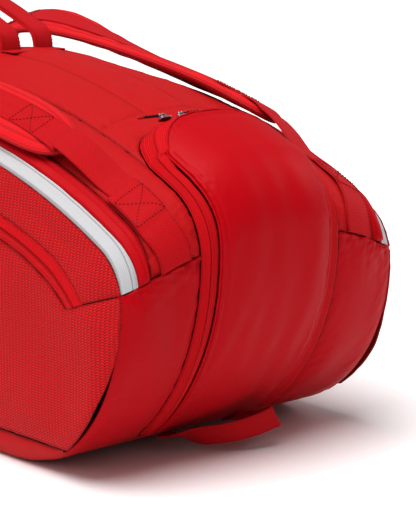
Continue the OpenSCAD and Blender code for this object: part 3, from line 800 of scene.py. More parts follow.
# ---------- end lobes ----------
def make_end(end, sign_y, side, sign):
    inside = np.array([0.1 * sign, 0.22 * sign_y, 0.14])
    x, v = np.meshgrid(np.linspace(CENTRE_X, SEAM_X + 0.0026, 50), np.linspace(0, 1, 110))
    t = seam_t(np.minimum(x, SEAM_X)) * (1 - v) + 3.0 * v
    s = (x - CENTRE_X) / (SEAM_X - CENTRE_X)
    flat = skin(x, t * sign_y) * np.array([sign, 1, 1])
    points, n, seam = tucked(flat, inside, "flaz", 0.0013, 0.0040)
    d, top, outer = (edge_distance(flat, e) for e in ("flaz", "f", "z"))
    calm = smooth_step(outer / 0.012)
    # Painted seam shade, weaker near the outer edge.
    seam = seam * (0.3 + 0.7 * calm)
    belly = 0.0035 * np.sin(np.pi * s) * np.sin(np.pi * np.clip(v * 0.9 + 0.05, 0, 1)) ** 0.7
    drape = 0.0016 * ripple(np.stack([x * 1.0, x * 0, along(flat) * 0.4], -1), 0.055, 61 + sign + 3 * sign_y)
    lift = belly + drape * smooth_step(d / 0.03) + puckers(flat, d, 0.012, 0.0005, seed=62 + sign)
    lift = lift + puckers(flat, top, 0.011, 0.0017, 0.014, 63 + sign)
    ticks = 0.0005 * np.cos(along(flat, 1) * 2 * np.pi / 0.0032) * fade(top - 0.0050, 0.0022)
    roll = 0.0012 * fade(top - 0.0022, 0.0016)
    points = points + n * ((lift + ticks + roll) * calm)[..., None]
    sewn(f"{end}_{side}_end_cloth", points, SATIN, seam, inside,
         "bag", [f"{end}_{side}_end_panel"])


# ---------- base ----------
RIM_X = 0.168


def make_base():
    """Flat underneath, lifted towards both ends, with rims that curve up to the side panels."""
    t = np.concatenate([np.linspace(-3.0, -4.0, 30), np.linspace(4.0, 3.0, 30)])
    lifted = skin(0.0, t)
    y = np.concatenate([lifted[:30, 1], np.linspace(-FLAT_Y, FLAT_Y, 60)[1:-1], lifted[30:, 1]])
    z = np.interp(y, lifted[:, 1], lifted[:, 2])
    rim = np.linspace(0, np.pi / 2, 12)
    across = []
    for yy, zz in zip(y, z):
        top_x, top_z = side_x(yy, HINGE_Z) - 0.002, max(HINGE_Z - 0.0003, zz + 0.001)
        curve_x, curve_z = RIM_X + (top_x - RIM_X) * np.sin(rim), zz + (top_z - zz) * (1 - np.cos(rim))
        curve = np.stack([curve_x, np.full(12, yy), curve_z], -1)
        flat = np.stack([np.linspace(0, RIM_X, 40)[:-1], np.full(39, yy), np.full(39, zz)], -1)
        half = np.vstack([flat, curve])
        across.append(np.vstack([mirror(half, -1)[::-1], half[1:]]))
    flat = np.array(across)
    inside = np.array([0, 0, 0.15])
    n = grid_normals(flat, inside)
    d = edge_distance(flat, "flaz")
    lift = 0.0003 * ripple(flat, 0.03, 71) * (flat[..., 2] > 0.003) - 0.0016 * fade(d, 0.004, 1.3)
    points = flat + n * np.minimum(lift, 0)[..., None]
    # Painted shade round the base's edges, in its seams.
    sewn("base_cloth", points, SMOOTH, fade(d, 0.0016), inside, "bag", ["base_panel"])


# ---------- side mesh, pocket and pocket zip ----------
def join_z(y):
    """The seam from the pocket zip's slanting end up to the end seam."""
    return 0.194 - 0.31 * (END_SEAM_Y - np.abs(y))


def zip_low(y):
    """Lower edge of the pocket zip. The zip widens a little towards its ends."""
    return pocket_zip_z(y) - POCKET_ZIP_HALF - 0.006 * smooth_step((np.abs(y) - 0.22) / 0.07)


def zip_high(y):
    return pocket_zip_z(y) + POCKET_ZIP_HALF + 0.006 * smooth_step((np.abs(y) - 0.28) / 0.04)


def low_z(y):
    return np.maximum(np.where(np.abs(y) < 0.29, HINGE_Z + 0.0018, 0), side_low(y) + 0.0005)


def side_sheet(y, low, high, rows, sign, off=0.0):
    """Grid on the side face over y, between two height rules; rows run up."""
    yy, v = np.meshgrid(y, np.linspace(0, 1, rows))
    zz = low(yy) * (1 - v) + high(yy) * v
    return np.stack([sign * (side_x(yy, zz) + off), yy, zz], -1)


def make_side(side, sign):
    inside = np.array([0.05 * sign, 0, 0.15])
    soft = lambda p, seed: 0.0018 * ripple(p, 0.13, seed, (0, 1, 1))
    top = lambda y: side_top(y) - 0.0002

    def panel(name, y, low, high, rows, edges, finish, replaces, off=0.0, trim=0.0013):
        flat = side_sheet(y, low, high, rows, sign, off)
        points, n, seam = tucked(flat, inside, edges, trim)
        d = edge_distance(flat, edges)
        # Painted seam shade, weaker near the end edge.
        if "z" in edges:
            seam = seam * (0.3 + 0.7 * smooth_step(edge_distance(flat, "z") / 0.008))
        lift = soft(flat, 81) * smooth_step(d / 0.03) + puckers(flat, d, 0.012, 0.0004, seed=82)
        piece = Piece(f"{side}_{name}")
        piece.grid(points + n * lift[..., None], finish, seam, inside, uv=flat[..., 1:])
        return piece.make(None, replaces, thick=0.0018)

    for end, sign_y in ENDS:
        tip = nose_y(SEAM_X) - 0.0006
        upper_tip = END_SEAM_Y - 0.0013
        whole = sign_y * np.concatenate([np.linspace(0, 0.30, 76), np.linspace(0.303, upper_tip, 26)])
        edges = "flz"
        upper_low = lambda y: np.where(np.abs(y) < HIGH_TIP_Y, zip_high(y), join_z(y) + 0.0004)
        made = panel("upper_mesh_" + end, whole, upper_low, top, 26, edges, MESH,
                     [side + "_upper_mesh"] if end == "near" else [])
        side_blend(made)
        inner_y = sign_y * np.linspace(0, SIDE_BEND_Y[1], 68)
        made = panel("pocket_front_mesh_" + end, inner_y, low_z, zip_low, 46, "fl", MESH,
                     [side + "_pocket_front"] if end == "near" else [])
        side_blend(made)
        outer_y = sign_y * np.linspace(SIDE_BEND_Y[1], tip, 34)
        under_join = lambda y: np.minimum(join_z(y) - 0.0004, top(y))
        lower_high = lambda y: np.where(np.abs(y) < LOW_TIP_Y, zip_low(y), under_join(y))
        made = panel("lower_mesh_" + end, outer_y, low_z, lower_high, 46, "flz", MESH,
                     [f"{end}_{side}_mesh_end"])
        side_blend(made)
        make_pocket_zip(side, sign, end, sign_y)


def make_pocket_zip(side, sign, end, sign_y):
    inside = np.array([0.05 * sign, 0, 0.15])
    s = np.linspace(0, 1, 15)[:, None]
    y = sign_y * np.linspace(0, 1, 120) * (LOW_TIP_Y + (HIGH_TIP_Y - LOW_TIP_Y) * s)
    z = zip_low(y) * (1 - s) + zip_high(y) * s
    flat = np.stack([sign * side_x(y, z), y, z], -1)
    n = grid_normals(flat, inside)
    lift = band_profile(s) - 0.0008
    # Painted shade in the coil's middle slit and along the tape's edges.
    seam = fade(s - 0.5, 0.016) + fade(s, 0.05) + fade(1 - s, 0.05)
    piece = Piece(f"{side}_pocket_zip_{end}")
    points = flat + n * np.broadcast_to(lift, flat.shape[:2])[..., None]
    piece.grid(points, RED_TAPE, np.minimum(np.broadcast_to(seam, flat.shape[:2]), 1), inside, turn=True)
    replaced = [side + "_pocket_zip_tape"] if end == "near" else []
    made = piece.make(None, replaced, thick=0.001)
    side_blend(made)


# ---------- lining: dividers and pocket backs ----------
def make_divider(side, sign):
    y = np.linspace(-0.285, 0.285, 60)
    top = np.minimum(ARCH_Z + np.sqrt((rho(CENTRE_X) - SHELL - 0.002) ** 2 - y**2), 0.374)
    v = np.linspace(0, 1, 36)[:, None]
    z = 0.034 * (1 - v) + top[None] * v
    flat = np.stack([np.full(z.shape, sign * (CENTRE_X + 0.0012)), np.broadcast_to(y, z.shape), z], -1)
    quilt = 0.0006 * np.cos(flat[..., 1] * 2 * np.pi / 0.05) * np.cos(z * 2 * np.pi / 0.05)
    flat[..., 0] += quilt - 0.0008 * fade(edge_distance(flat, "flaz"), 0.006) * sign
    piece = Piece(side + "_divider_cloth")
    piece.grid(flat, LINING, None, (0, 0, 0.15))
    edge = np.vstack([flat[:, 0], flat[-1, 1:-1], flat[::-1, -1]])
    piece.tube(resample(edge, 160), 0.0017, LINING)
    piece.make("bag", [side + "_divider"], thick=0.002)


def make_pocket_back(side, sign):
    y = np.linspace(-0.272, 0.272, 90)
    low, high = (lambda y: np.full_like(y, HINGE_Z + 0.006)), (lambda y: pocket_zip_z(y) - 0.008)
    flat = side_sheet(y, low, high, 40, sign, -0.0125)
    d = edge_distance(flat, "flaz")
    flat[..., 0] += sign * 0.0012 * ripple(flat, 0.08, 91) * smooth_step(d / 0.03)
    # Painted shade, half strength, round the edges of the pocket back.
    sewn(side + "_pocket_back_cloth", flat, LINING, fade(d, 0.002) * 0.5, (0, 0, 0.15),
         side + "_side", [side + "_pocket_back"], 0.0015)


# ---------- straps ----------
STRAP_LEAVES, STRAP_END, PAD_END = -0.145, 0.300, 0.2382
PAD_T, PAD_RIM_T, PAD_W = 0.012, 0.0055, 0.066
STRAP_LEAN = 14.0
ANCHOR_TOP_T = 0.90
BOX_TOP_Y, BOX_LENGTH = 0.317, 0.037
PAD_ROUND = 0.016
WEB_ROWS = 200


def read_grid(points, rows, cols):
    """Points of a grid surface at rows and columns that may lie between its own."""
    i = np.clip(np.floor(rows).astype(int), 0, points.shape[0] - 2)
    j = np.floor(cols).astype(int)
    fi, fj = (rows - i)[:, None], (cols - j)[:, None]
    low = points[i, j] * (1 - fj) + points[i, j + 1] * fj
    high = points[i + 1, j] * (1 - fj) + points[i + 1, j + 1] * fj
    return low * (1 - fi) + high * fi


def cross_box(piece, at, normal_of):
    """A sewn box with a cross in it. at(s, w) gives surface points from shares of its length and width."""
    corners = [(0, 0), (1, 0), (1, 1), (0, 1)]
    runs = [(corners[i], corners[(i + 1) % 4]) for i in range(4)] + [((0, 0), (1, 1)), ((0, 1), (1, 0))]
    for a, b in runs:
        f = np.linspace(0, 1, 40)[:, None]
        place = np.array(a) * (1 - f) + np.array(b) * f
        line = at(place[:, 0], place[:, 1])
        piece.stitches(line, normal_of(line), THREAD, length=0.0026, gap=0.0010, width=0.0006, lift=0.0003)


def webbing_strip(piece, points, inside, thick=0.0016):
    """Flat webbing as a grid with thick selvedges. Gives the top surface and its normals."""
    n = grid_normals(points, inside)
    cols = points.shape[1]
    s = np.linspace(-1, 1, cols)
    selvedge = 0.0003 * fade(np.abs(s) - 0.93, 0.05)
    height = thick + selvedge - thick * np.clip(np.abs(s) - 0.975, 0, 1) / 0.025
    top = points + n * height[None, :, None]
    # Painted shade along the webbing's rolled edges.
    dark = 0.6 * fade(1 - np.abs(s), 0.03)
    piece.grid(top, WEBBING, np.broadcast_to(dark, points.shape[:2]), inside)
    return top, n


def selvedged(half, cols=21):
    """Positions across a webbing, closer together at the edges."""
    return half * np.sin(np.linspace(-1, 1, cols) * np.pi / 2 * 0.97) / np.sin(np.pi / 2 * 0.97)


def make_anchor(end, sign_y, side, sign):
    """Webbing sewn flat on the shoulder from the end seam up to its crossed box."""
    t_line = np.linspace(-1.92, -ANCHOR_TOP_T, 400)
    walked = along(skin(STRAP_X, t_line))
    x, t = np.meshgrid(selvedged(WEB_W / 2), np.interp(np.linspace(0, walked[-1], 110), walked, t_line))
    row_step = walked[-1] / 109
    x = x + STRAP_X - 0.0085 * smooth_step((np.abs(t) - 1.2) / 0.65)
    flat = skin(x, -t * sign_y, 0.0005) * np.array([sign, 1, 1])
    # The boxed end is folded under, so it stands on the free webbing that enters beneath it.
    folded = 0.0014 * smooth_step((np.abs(flat[..., 1]) - BOX_TOP_Y + 0.005) / 0.003)
    folded = folded * smooth_step((BOX_TOP_Y + BOX_LENGTH - np.abs(flat[..., 1])) / 0.01)
    flat = flat + grid_normals(flat, BELOW) * (folded + 0.0004 * (1 + ripple(flat, 0.06, 101)))[..., None]
    piece = Piece(f"{end}_{side}_anchor_webbing")
    top, n = webbing_strip(piece, flat, BELOW)
    box_row = np.interp(BOX_TOP_Y, np.abs(top[::-1, 10, 1]), np.arange(110)[::-1])

    def at(s, w):
        return read_grid(top, box_row - s * BOX_LENGTH / row_step, 2 + w * (top.shape[1] - 5))

    cross_box(piece, at, lambda line: unit(line - BELOW))
    for column in (2, -3):
        piece.stitches(top[:, column], n[:, column], THREAD, length=0.0024, gap=0.0014, width=0.0003)
    piece.make("bag", [f"{end}_{side}_strap_anchor"], thick=0.0018)


def strap_frame(y, x, rise, sign):
    """Middle line, side and up of a strap at stations y, on the side given by sign."""
    run = np.clip((y - STRAP_LEAVES) / (STRAP_END - STRAP_LEAVES), 0, 1)
    lift = rise * np.sin(np.pi * run**2.2)
    z = ARCH_Z + np.sqrt(rho(x) ** 2 - y**2) + 0.004 + lift
    slope, one = STRAP_LEAN * lift - 0.46, np.ones_like(z)
    side = unit(np.stack([one, 0 * one, slope], -1)) * [sign, 1, 1]
    up = unit(np.stack([-slope, 0 * one, one], -1)) * [sign, 1, 1]
    return np.stack([np.broadcast_to(sign * x, z.shape), y, z], -1), side, up


def pad_half_width(y):
    return PAD_W / 2 * np.sqrt(np.maximum(0, 1 - (np.abs(y) / PAD_END) ** 9))


def cloth_swell(name, top, under, pressure=4.0, cap=0.004, frames=20):
    """Inflates a closed pad made of two grids, held at its rim. Gives the moves of both grids."""
    rows, cols = top.shape[:2]
    count = rows * cols
    corner_at = (np.arange(rows - 1)[:, None] * cols + np.arange(cols - 1)).ravel()
    quads = np.stack([corner_at, corner_at + cols, corner_at + cols + 1, corner_at + 1], -1)
    i, j = np.arange(rows) * cols, np.arange(cols)
    ring = np.concatenate([j[:-1], i[:-1] + cols - 1, (i[-1] + j)[:0:-1], i[:0:-1]])
    after = np.roll(ring, -1)
    rim = np.stack([ring, after, after + count, ring + count], -1)
    mesh = bpy.data.meshes.new(name)
    faces = np.vstack([quads[:, ::-1], quads + count, rim])
    mesh.from_pydata(np.vstack([top.reshape(-1, 3), under.reshape(-1, 3)]).tolist(), [], faces.tolist())
    volume = np.sum(np.cross(top[1:, :-1] - top[:-1, :-1], top[:-1, 1:] - top[:-1, :-1])[..., 2])
    if volume > 0:
        mesh.flip_normals()
    mesh.update()
    blown = bpy.data.objects.new(name, mesh)
    bpy.context.scene.collection.objects.link(blown)
    held = blown.vertex_groups.new(name="held")
    held.add([int(k) for k in np.concatenate([ring, ring + count])], 1.0, "REPLACE")
    cloth = blown.modifiers.new("cloth", "CLOTH")
    cloth.settings.vertex_group_mass = "held"
    cloth.settings.use_pressure = True
    cloth.settings.uniform_pressure_force = pressure
    cloth.settings.effector_weights.gravity = 0
    cloth.point_cache.frame_end = frames
    scene = bpy.context.scene
    for frame_number in range(1, frames + 1):
        scene.frame_set(frame_number)
    moved = np.zeros(count * 6, np.float32)
    blown.evaluated_get(bpy.context.evaluated_depsgraph_get()).data.vertices.foreach_get("co", moved)
    scene.frame_set(1)
    bpy.data.objects.remove(blown)
    move = moved.reshape(2, rows, cols, 3) - np.stack([top, under])
    far = np.linalg.norm(move, axis=-1, keepdims=True)
    return move * np.minimum(1, cap / np.maximum(far, 1e-9))


def spread(move, rows, cols):
    """A coarse grid of moves read at a finer grid of rows and columns."""
    i = np.linspace(0, move.shape[0] - 1, rows)
    j = np.linspace(0, move.shape[1] - 1, cols)
    rows_in, cols_in = np.arange(move.shape[0]), np.arange(move.shape[1])
    across = np.stack([[np.interp(j, cols_in, row[:, k]) for row in move] for k in range(3)], -1)
    both = [[np.interp(i, rows_in, across[:, c, k]) for c in range(cols)] for k in range(3)]
    return np.stack(both, -1).transpose(1, 0, 2)


def bulge(rim):
    """0 to 1 round the pad's rim, as its thickness grows from the edge inwards."""
    return np.sqrt(np.clip(1 - (1 - np.minimum(rim / PAD_ROUND, 1)) ** 2, 0, 1))


def bind_rim(pad, x, rise, sign, mid, y):
    """A ribbed binding swept once round the pad's outline."""
    lap = np.linspace(0, 2 * np.pi, 420, endpoint=False)
    ring_y = PAD_END * rounded(np.sin(lap), 0.35) * 0.9985
    ring_s = np.sign(np.cos(lap)) * pad_half_width(ring_y)
    ring = np.stack([ring_s, ring_y, 0 * lap], -1)
    ring = resample(np.vstack([ring, ring[:1]]), 421)[:-1]
    way = unit(np.roll(ring, -1, 0) - np.roll(ring, 1, 0))
    out = np.stack([way[:, 1], -way[:, 0]], -1)
    ring_mid, ring_across, ring_up = strap_frame(ring[:, 1], x, rise, sign)
    slope = unit(np.gradient(mid, y, axis=0))
    slope_at = np.stack([np.interp(ring[:, 1], y, slope[:, k]) for k in range(3)], -1)
    route = ring_mid + ring_across * ring[:, :1] + ring_up * 0.005
    outward = unit(ring_across * out[:, :1] + slope_at * out[:, 1:])
    a = np.linspace(0, 2 * np.pi, 14, endpoint=False)
    profile = np.stack([-0.0036 + 0.0046 * np.cos(a), 0.0034 * rounded(np.sin(a), 0.7)], -1)
    closed, closed_out, closed_up = (np.vstack([v, v[:1]]) for v in (route, outward, ring_up))
    pad.sweep(closed, closed_out, closed_up, profile, BINDING, caps=False)


def make_strap_pad(side, sign, x, rise):
    """Two skins round a soft core: air mesh on top, smooth cloth below, and a binding round the rim."""
    y = (PAD_END - 0.0007) * np.sin(np.linspace(-1, 1, 191) * np.pi / 2)
    s = np.sin(np.linspace(-1, 1, 41) * np.pi / 2)
    mid, across, up = strap_frame(y, x, rise, sign)
    half = pad_half_width(y)
    yy, ss = y[:, None], s[None] * half[:, None]
    rim = np.minimum(half[:, None] - np.abs(ss), (PAD_END - np.abs(yy)) * 0.9)
    swell = bulge(rim)
    flat = mid[:, None] + across[:, None] * ss[..., None]
    soft = ripple(flat * [1, 1, 0], 0.045, 111 + sign) * smooth_step(rim / 0.008)
    stitch_line = fade(rim - 0.0085, 0.0012)
    high = PAD_RIM_T + (PAD_T - PAD_RIM_T) * swell + 0.0006 * soft - 0.0009 * stitch_line
    top = flat + up[:, None] * high[..., None]
    under = flat + up[:, None] * (0.0045 - 0.0042 * swell + 0.0004 * soft)[..., None]
    moves = cloth_swell(side + "_pad_trial", top[::5, ::4], under[::5, ::4])
    calm = smooth_step(rim / 0.010)[..., None]
    beside_webbing = smooth_step((np.abs(ss) - WEB_W / 2 + 0.003) / 0.006)[..., None]
    top = top + beside_webbing * spread(moves[0], *top.shape[:2]) * calm
    under = under + spread(moves[1], *under.shape[:2]) * [1, 1, 0.2] * calm
    pad = Piece(side + "_strap_padding")
    # Painted shade in the groove of the stitch line round the pad.
    pad.grid(top, AIR_MESH, 0.7 * stitch_line, top.mean((0, 1)) - up.mean(0) * 0.05)
    pad.grid(under, SMOOTH, None, under.mean((0, 1)) + up.mean(0) * 0.05)
    bind_rim(pad, x, rise, sign, mid, y)
    made = pad.make(side + "_strap", [side + "_strap_pad"])


def make_strap_webbing(side, sign, shift, rise):
    """Webbing sewn along the pad, with a crossed box at each end and a free run to each anchor."""
    x = STRAP_X + shift
    inside = np.array([0, 0, -1.0])
    web = Piece(side + "_strap_webbing_run")
    web_end = PAD_END - 0.0027
    y_web = np.linspace(-web_end, web_end, WEB_ROWS)
    w = selvedged(0.0165)
    mid_w, across_w, up_w = strap_frame(y_web, x, rise, sign)
    rim_w = (PAD_END - np.abs(y_web)) * 0.9
    lift = 0.0058 + (PAD_T - 0.0058) * bulge(rim_w)
    raised = mid_w + up_w * (lift[:, None] + 0.0006)
    surface = raised[:, None] + across_w[:, None] * w[None, :, None]
    top_web, _ = webbing_strip(web, surface, inside, 0.0014)
    for sign_y in (-1, 1):
        start, stop = sign_y * (web_end - 0.033), sign_y * (web_end - 0.033 - BOX_LENGTH)

        def at(f, g, start=start, stop=stop):
            rows = (start + (stop - start) * f + web_end) / (2 * web_end) * (WEB_ROWS - 1)
            return read_grid(top_web, rows, 2 + g * 16)

        box_up = up_w[30 if sign_y < 0 else -30]
        cross_box(web, at, lambda line, box_up=box_up: np.broadcast_to(box_up, line.shape))
        # The free webbing between the pad and the sewn anchor swings over from one line to the other.
        f = np.linspace(0, 1, 40)
        y_free = sign_y * (web_end - 0.001 + (STRAP_END + 0.005 - web_end) * f)
        x_free = STRAP_X + shift * (1 - f)
        free, across_f, up_f = strap_frame(y_free, STRAP_X, rise, sign)
        free[:, 0] = sign * x_free
        pad_height = lift[-2] + 0.001
        lift_free = pad_height * (1 - smooth_step(f / 0.8)) - 0.0050 * smooth_step((f - 0.35) / 0.6)
        raised = free + up_f * lift_free[:, None]
        strip = raised[:, None] + across_f[:, None] * w[None, :, None]
        webbing_strip(web, strip, inside, 0.0016)
    web.make(side + "_strap", [side + "_strap_webbing"], thick=0.0016)


# ---------- handles and grab loops ----------
HANDLE_X, HANDLE_Y0, HANDLE_Y1, HANDLE_W, HANDLE_RISE = 0.022, 0.012, 0.172, 0.025, 0.050
FOOT_Z = 0.376


def rounded_bar(half_w, half_t, n=5):
    """A flat bar's outline with rounded corners, as (side, up) points."""
    a = np.linspace(0, np.pi / 2, n)
    r = half_t
    corner_at = [(half_w - r, half_t - r), (-(half_w - r), half_t - r), (-(half_w - r), -(half_t - r)),
                 (half_w - r, -(half_t - r))]
    return np.array([(cx + r * np.cos(q + k * np.pi / 2), cy + r * np.sin(q + k * np.pi / 2))
                     for k, (cx, cy) in enumerate(corner_at) for q in a])


def handle_route(sign):
    """Up from the near foot, over a lean to the highest point in the middle, and down again."""
    f = np.sin(np.linspace(-1, 1, 150) * np.pi / 2)
    a = np.abs(f)
    high = HANDLE_RISE * (0.42 * np.sqrt(1 - a**24) + 0.58 * (1 - a**1.1))
    y = (HANDLE_Y0 + HANDLE_Y1 + f * (HANDLE_Y1 - HANDLE_Y0)) / 2
    return np.stack([np.full(150, sign * HANDLE_X), y, FOOT_Z + high], -1)


def sewn_foot(start, way, sign):
    """Line of the webbing sewn flat on the top, from its cut end to the handle's foot."""
    y = start + way * np.linspace(0.024, 0.0, 20)
    x = np.full(20, sign * HANDLE_X)
    z = ARCH_Z + np.sqrt(rho(x) ** 2 - y**2) + top_swell(x, y) + 0.0014
    turn = np.linspace(0, 1, 6)[1:, None]
    low, high = np.array([x[0], start, z[-1]]), np.array([x[0], start, z[-1] + 0.002])
    return np.vstack([np.stack([x, y, z], -1), low * (1 - turn) + high * turn])


def make_handle(side, sign):
    """One length of webbing, sewn flat at both ends, with a second layer folded over it between its feet."""
    route = handle_route(sign)
    whole = np.vstack([sewn_foot(HANDLE_Y0, -1, sign), route[1:-1], sewn_foot(HANDLE_Y1, 1, sign)[::-1]])
    whole = resample(whole, 300)
    for _ in range(3):
        whole[1:-1] = whole[1:-1] * 0.5 + (whole[:-2] + whole[2:]) * 0.25

    def frame_of(line):
        way = unit(np.gradient(line, axis=0))
        sides = np.tile([[1.0, 0, 0]], (len(line), 1))
        return sides, unit(np.cross(way, sides)) * -1

    sides, ups = frame_of(whole)
    piece = Piece(side + "_handle_webbing")
    piece.sweep(whole, sides, ups, rounded_bar(HANDLE_W / 2, 0.0009), WEBBING)
    over = whole[24:-24]
    over_sides, over_ups = frame_of(over)
    for layer in (1, 2):
        swell = np.sin(np.linspace(0, np.pi, len(over)))[:, None] ** 0.3
        piece.sweep(over + over_ups * (0.0019 * layer * swell), over_sides, over_ups,
                    rounded_bar(HANDLE_W / 2 - 0.0003 * layer, 0.0009), WEBBING)
    for edge in (-0.42, 0.42):
        line = over + over_sides * HANDLE_W * edge + over_ups * 0.0048
        piece.stitches(line[12:-12], over_ups[12:-12], THREAD, width=0.0004)
    made = piece.make(None, [side + "_carry_handle", side + "_handle_tabs"])
    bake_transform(made)


LOOP_W = 0.024
LOOP_ROOTS = np.array([[-0.046, -0.264, 0.0160], [0.046, -0.264, 0.0160]])
LOOP_TIP = np.array([0.042, -0.338, 0.034])
LOOP_LEAN = unit(np.array([-0.54, 0, 0.84]))


def leg(start, middle, end, count):
    """A smooth bend from start to end, drawn towards middle."""
    f = np.linspace(0, 1, count)[:, None]
    return start * (1 - f) ** 2 + 2 * middle * f * (1 - f) + end * f**2


def make_loop(end, sign_y):
    """Webbing sewn in flat under the end. It turns on edge and is creased where it comes back."""
    out = leg(LOOP_ROOTS[0], np.array([-0.016, -0.334, 0.018]), LOOP_TIP, 70)
    back = leg(LOOP_TIP + [0.001, 0.003, 0], np.array([0.050, -0.306, 0.019]), LOOP_ROOTS[1], 50)
    route = np.vstack([out, back])
    for _ in range(2):
        route[1:-1] = route[1:-1] * 0.5 + (route[:-2] + route[2:]) * 0.25
    walked = along(route)
    upright = smooth_step(np.minimum(walked / 0.05, (walked[-1] - walked) / 0.04))[:, None]
    way = unit(np.gradient(route, axis=0))
    level = unit(np.cross(way, [0, 0, 1.0])) * np.where(np.arange(len(route)) < 70, 1, -1)[:, None]
    sides = unit(level * (1 - upright) + LOOP_LEAN * upright)
    sides = unit(sides - way * np.sum(sides * way, -1, keepdims=True))
    ups = np.cross(way, sides)
    flip = [1, -sign_y, 1]
    piece = Piece(end + "_loop_webbing")
    piece.sweep(route * flip, sides * flip, ups * flip, rounded_bar(LOOP_W / 2, 0.0011), WEBBING)
    for edge in (-0.4, 0.4):
        for face in (-1, 1):
            line = (route + sides * LOOP_W * edge + ups * 0.0012 * face) * flip
            piece.stitches(line[4:-4], (ups * face * flip)[4:-4], THREAD, width=0.0003)
    piece.make(end + "_loop", [end + "_grab_loop"])


# ---------- sliders and pulls ----------
SIDE_CORD, FLAP_CORD = 0.016, 0.018
FLAP_SLIDE_T = 0.76


def turn_matrix(axis, degrees):
    c, s = np.cos(np.radians(degrees)), np.sin(np.radians(degrees))
    rows = {"x": [[1, 0, 0], [0, c, -s], [0, s, c]], "y": [[c, 0, s], [0, 1, 0], [-s, 0, c]],
            "z": [[c, -s, 0], [s, c, 0], [0, 0, 1]]}
    full = np.eye(4)
    full[:3, :3] = rows[axis]
    return full


def shift_matrix(x, y, z):
    full = np.eye(4)
    full[:3, 3] = x, y, z
    return full


def slab(piece, x, y, z, finish, ease=0.0008):
    """A box between pairs of sizes in millimetres, with eased edges and round corners."""
    x, y, z = (np.array(v) / 1000 for v in (x, y, z))
    hx, hy, hz = (x[1] - x[0]) / 2, (y[1] - y[0]) / 2, (z[1] - z[0]) / 2
    ease = min(ease, hx * 0.9, hy * 0.9, hz * 0.9)
    q = np.linspace(0, np.pi / 2, 5)
    rows = np.concatenate([-hz + ease * (1 - np.cos(q)), (hz - ease * (1 - np.cos(q)))[::-1]])
    inset = np.concatenate([ease * (1 - np.sin(q)), (ease * (1 - np.sin(q)))[::-1]])
    a = np.linspace(0, 2 * np.pi, 28, endpoint=False)
    shape = np.stack([rounded(np.cos(a), 0.45), rounded(np.sin(a), 0.45)], -1)
    route = np.stack([np.full(10, x.mean()), np.full(10, y.mean()), z.mean() + rows], -1)
    wide = np.stack([hx - inset, 0 * inset, 0 * inset], -1)
    deep = np.stack([0 * inset, hy - inset, 0 * inset], -1)
    piece.sweep(route, wide, deep, shape, finish)


def placed(piece, matrix, sign=1):
    """Carries all of a piece's points from its own millimetre frame to the bag."""
    everything = np.concatenate(piece.verts) @ matrix[:3, :3].T + matrix[:3, 3]
    piece.verts = [everything * [sign, 1, 1]]
    if sign < 0:
        piece.faces = [f[::-1] for f in piece.faces]


def make_slider(name, matrix, sign):
    """Two plates with side walls and a bridge for the pull. name is its body and its node."""
    piece = Piece(name + "_metal")
    slab(piece, (-4.4, 4.4), (-6.9, 6.9), (0.1, 1.0), METAL, 0.0004)
    slab(piece, (-4.5, 4.5), (-7.0, 7.0), (1.2, 2.2), METAL, 0.0004)
    slab(piece, (-3.0, 3.0), (-5.0, 5.0), (2.0, 3.3), METAL, 0.0006)
    for s in (-1, 1):
        slab(piece, (s * 4.0 - 0.5, s * 4.0 + 0.5), (-4.6, 5.6), (0.2, 2.0), METAL, 0.0003)
    arch = np.linspace(0, np.pi, 26)
    loop = np.stack([0 * arch, -2.3e-3 * np.cos(arch), 0.0031 + 0.0038 * np.sin(arch) ** 0.6], -1)
    side, up = np.tile([[1.0, 0, 0]], (26, 1)), unit(np.stack([0 * arch, -np.cos(arch), np.sin(arch)], -1))
    piece.sweep(loop, side, up, rounded_bar(0.0014, 0.0005), METAL)
    placed(piece, matrix, sign)
    piece.make(name, [name])


def make_pull(name, matrix, sign, length, cord_finish, tip_finish):
    """A wire ring in the slider's bridge, then a doubled cord that ends in a moulded tip."""
    piece = Piece(name + "_cord")
    a = np.linspace(0, 2 * np.pi, 40)
    wide, long = rounded(np.cos(a), 0.6), rounded(np.sin(a), 0.6)
    frame_line = np.stack([0.0026 * wide, -0.0030 + 0.0036 * long, 0.0052 + 0 * a], -1)
    piece.tube(frame_line, 0.0006, METAL)
    reach = np.linspace(-0.0062, -0.0074 - length, 60)
    for s in (-1, 1):
        swing = s * 0.0007 * np.cos(reach * 2 * np.pi / 0.009)
        heave = s * 0.0007 * np.sin(reach * 2 * np.pi / 0.009)
        piece.tube(np.stack([swing, reach, 0.0052 + heave], -1), 0.0009, cord_finish)
    rows = np.linspace(0, 1, 22)
    barrel = np.clip(np.sin(np.clip(rows * 1.04 + 0.03, 0, 1) * np.pi) ** 0.35, 0.25, 1)
    radius = 0.0021 * barrel * (1 - 0.18 * rows)
    radius = radius - 0.00018 * (np.cos(rows * 2 * np.pi * 5) > 0.4) * (rows > 0.25) * (rows < 0.8)
    tip = np.stack([0 * rows, -0.0070 - length - 0.009 * rows, 0.0052 + 0 * rows], -1)
    piece.tube(tip, radius, tip_finish, 20)
    placed(piece, matrix, sign)
    piece.make(name, [name])


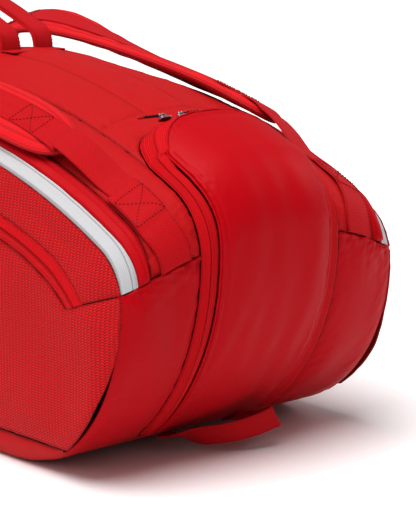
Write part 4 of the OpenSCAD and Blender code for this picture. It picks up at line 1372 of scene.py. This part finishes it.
def make_hardware():
    slide_x, lean = 0.170, np.degrees(np.arctan2(rho(0.166) - rho(0.174), 0.008))
    racket = shift_matrix(slide_x, 0, ARCH_Z) @ turn_matrix("x", -25)
    racket = racket @ shift_matrix(0, 0, rho(slide_x) + 0.0011) @ turn_matrix("y", lean)
    face = side_x(0.0, side_top(0.0) - 0.056) + 0.0006
    pocket = shift_matrix(face, 0, POCKET_ARCH_Z) @ turn_matrix("x", -19)
    pocket = pocket @ shift_matrix(0, 0, RHO_SEAM - SHOULDER_DROP) @ turn_matrix("y", 90)
    for side, sign in SIDES:
        make_slider(side + "_racket_slider", racket, sign)
        make_pull(side + "_racket_pull", racket, sign, SIDE_CORD, WHITE_TAPE, METAL)
        make_slider(side + "_pocket_slider", pocket, sign)
        make_pull(side + "_pocket_pull", pocket, sign, SIDE_CORD, CORD, TIP)
    # The flap's sliders run across the top, on the wall from the skin up to the flap's edge.
    low, high = skin(0, -FLAP_SLIDE_T), skin(0, 0.003 - flap_top_t(0), FLAP_RISE)
    tilt = np.degrees(np.arctan2(high[2] - low[2], low[1] - high[1]))
    middle = shift_matrix(*(low + high) / 2)
    for side, x, turn in (("left", -0.044, -90), ("right", -0.022, 90)):
        place = shift_matrix(x, 0, 0) @ middle @ turn_matrix("x", -tilt)
        place = place @ shift_matrix(0, 0, 0.0012) @ turn_matrix("z", turn)
        make_slider(side + "_flap_slider", place, 1)
        make_pull(side + "_flap_pull", place, 1, FLAP_CORD, CORD, TIP)


# ---------- building ----------
make_camera()
make_studio()
make_top_panel()
make_flap_zip()
make_flap()
make_far_centre()
make_base()
for side, sign in SIDES:
    make_shoulder(side, sign)
    make_rain_flap(side, sign)
    make_white_zip(side, sign)
    make_side(side, sign)
    make_divider(side, sign)
    make_pocket_back(side, sign)
    make_handle(side, sign)
    for end, sign_y in ENDS:
        make_end(end, sign_y, side, sign)
        make_anchor(end, sign_y, side, sign)
# The left strap lies down. The right one stands up in an arch and leans a little inwards.
for side, sign, shift, rise in (("left", -1, 0.007, 0.0), ("right", 1, -0.004, 0.057)):
    make_strap_pad(side, sign, STRAP_X + shift, rise)
    make_strap_webbing(side, sign, shift, rise)
for end, sign_y in ENDS:
    make_loop(end, sign_y)
make_hardware()

board = bpy.data.objects.get("base_board")
board.data.materials.clear()
board.data.materials.append(BOARD)
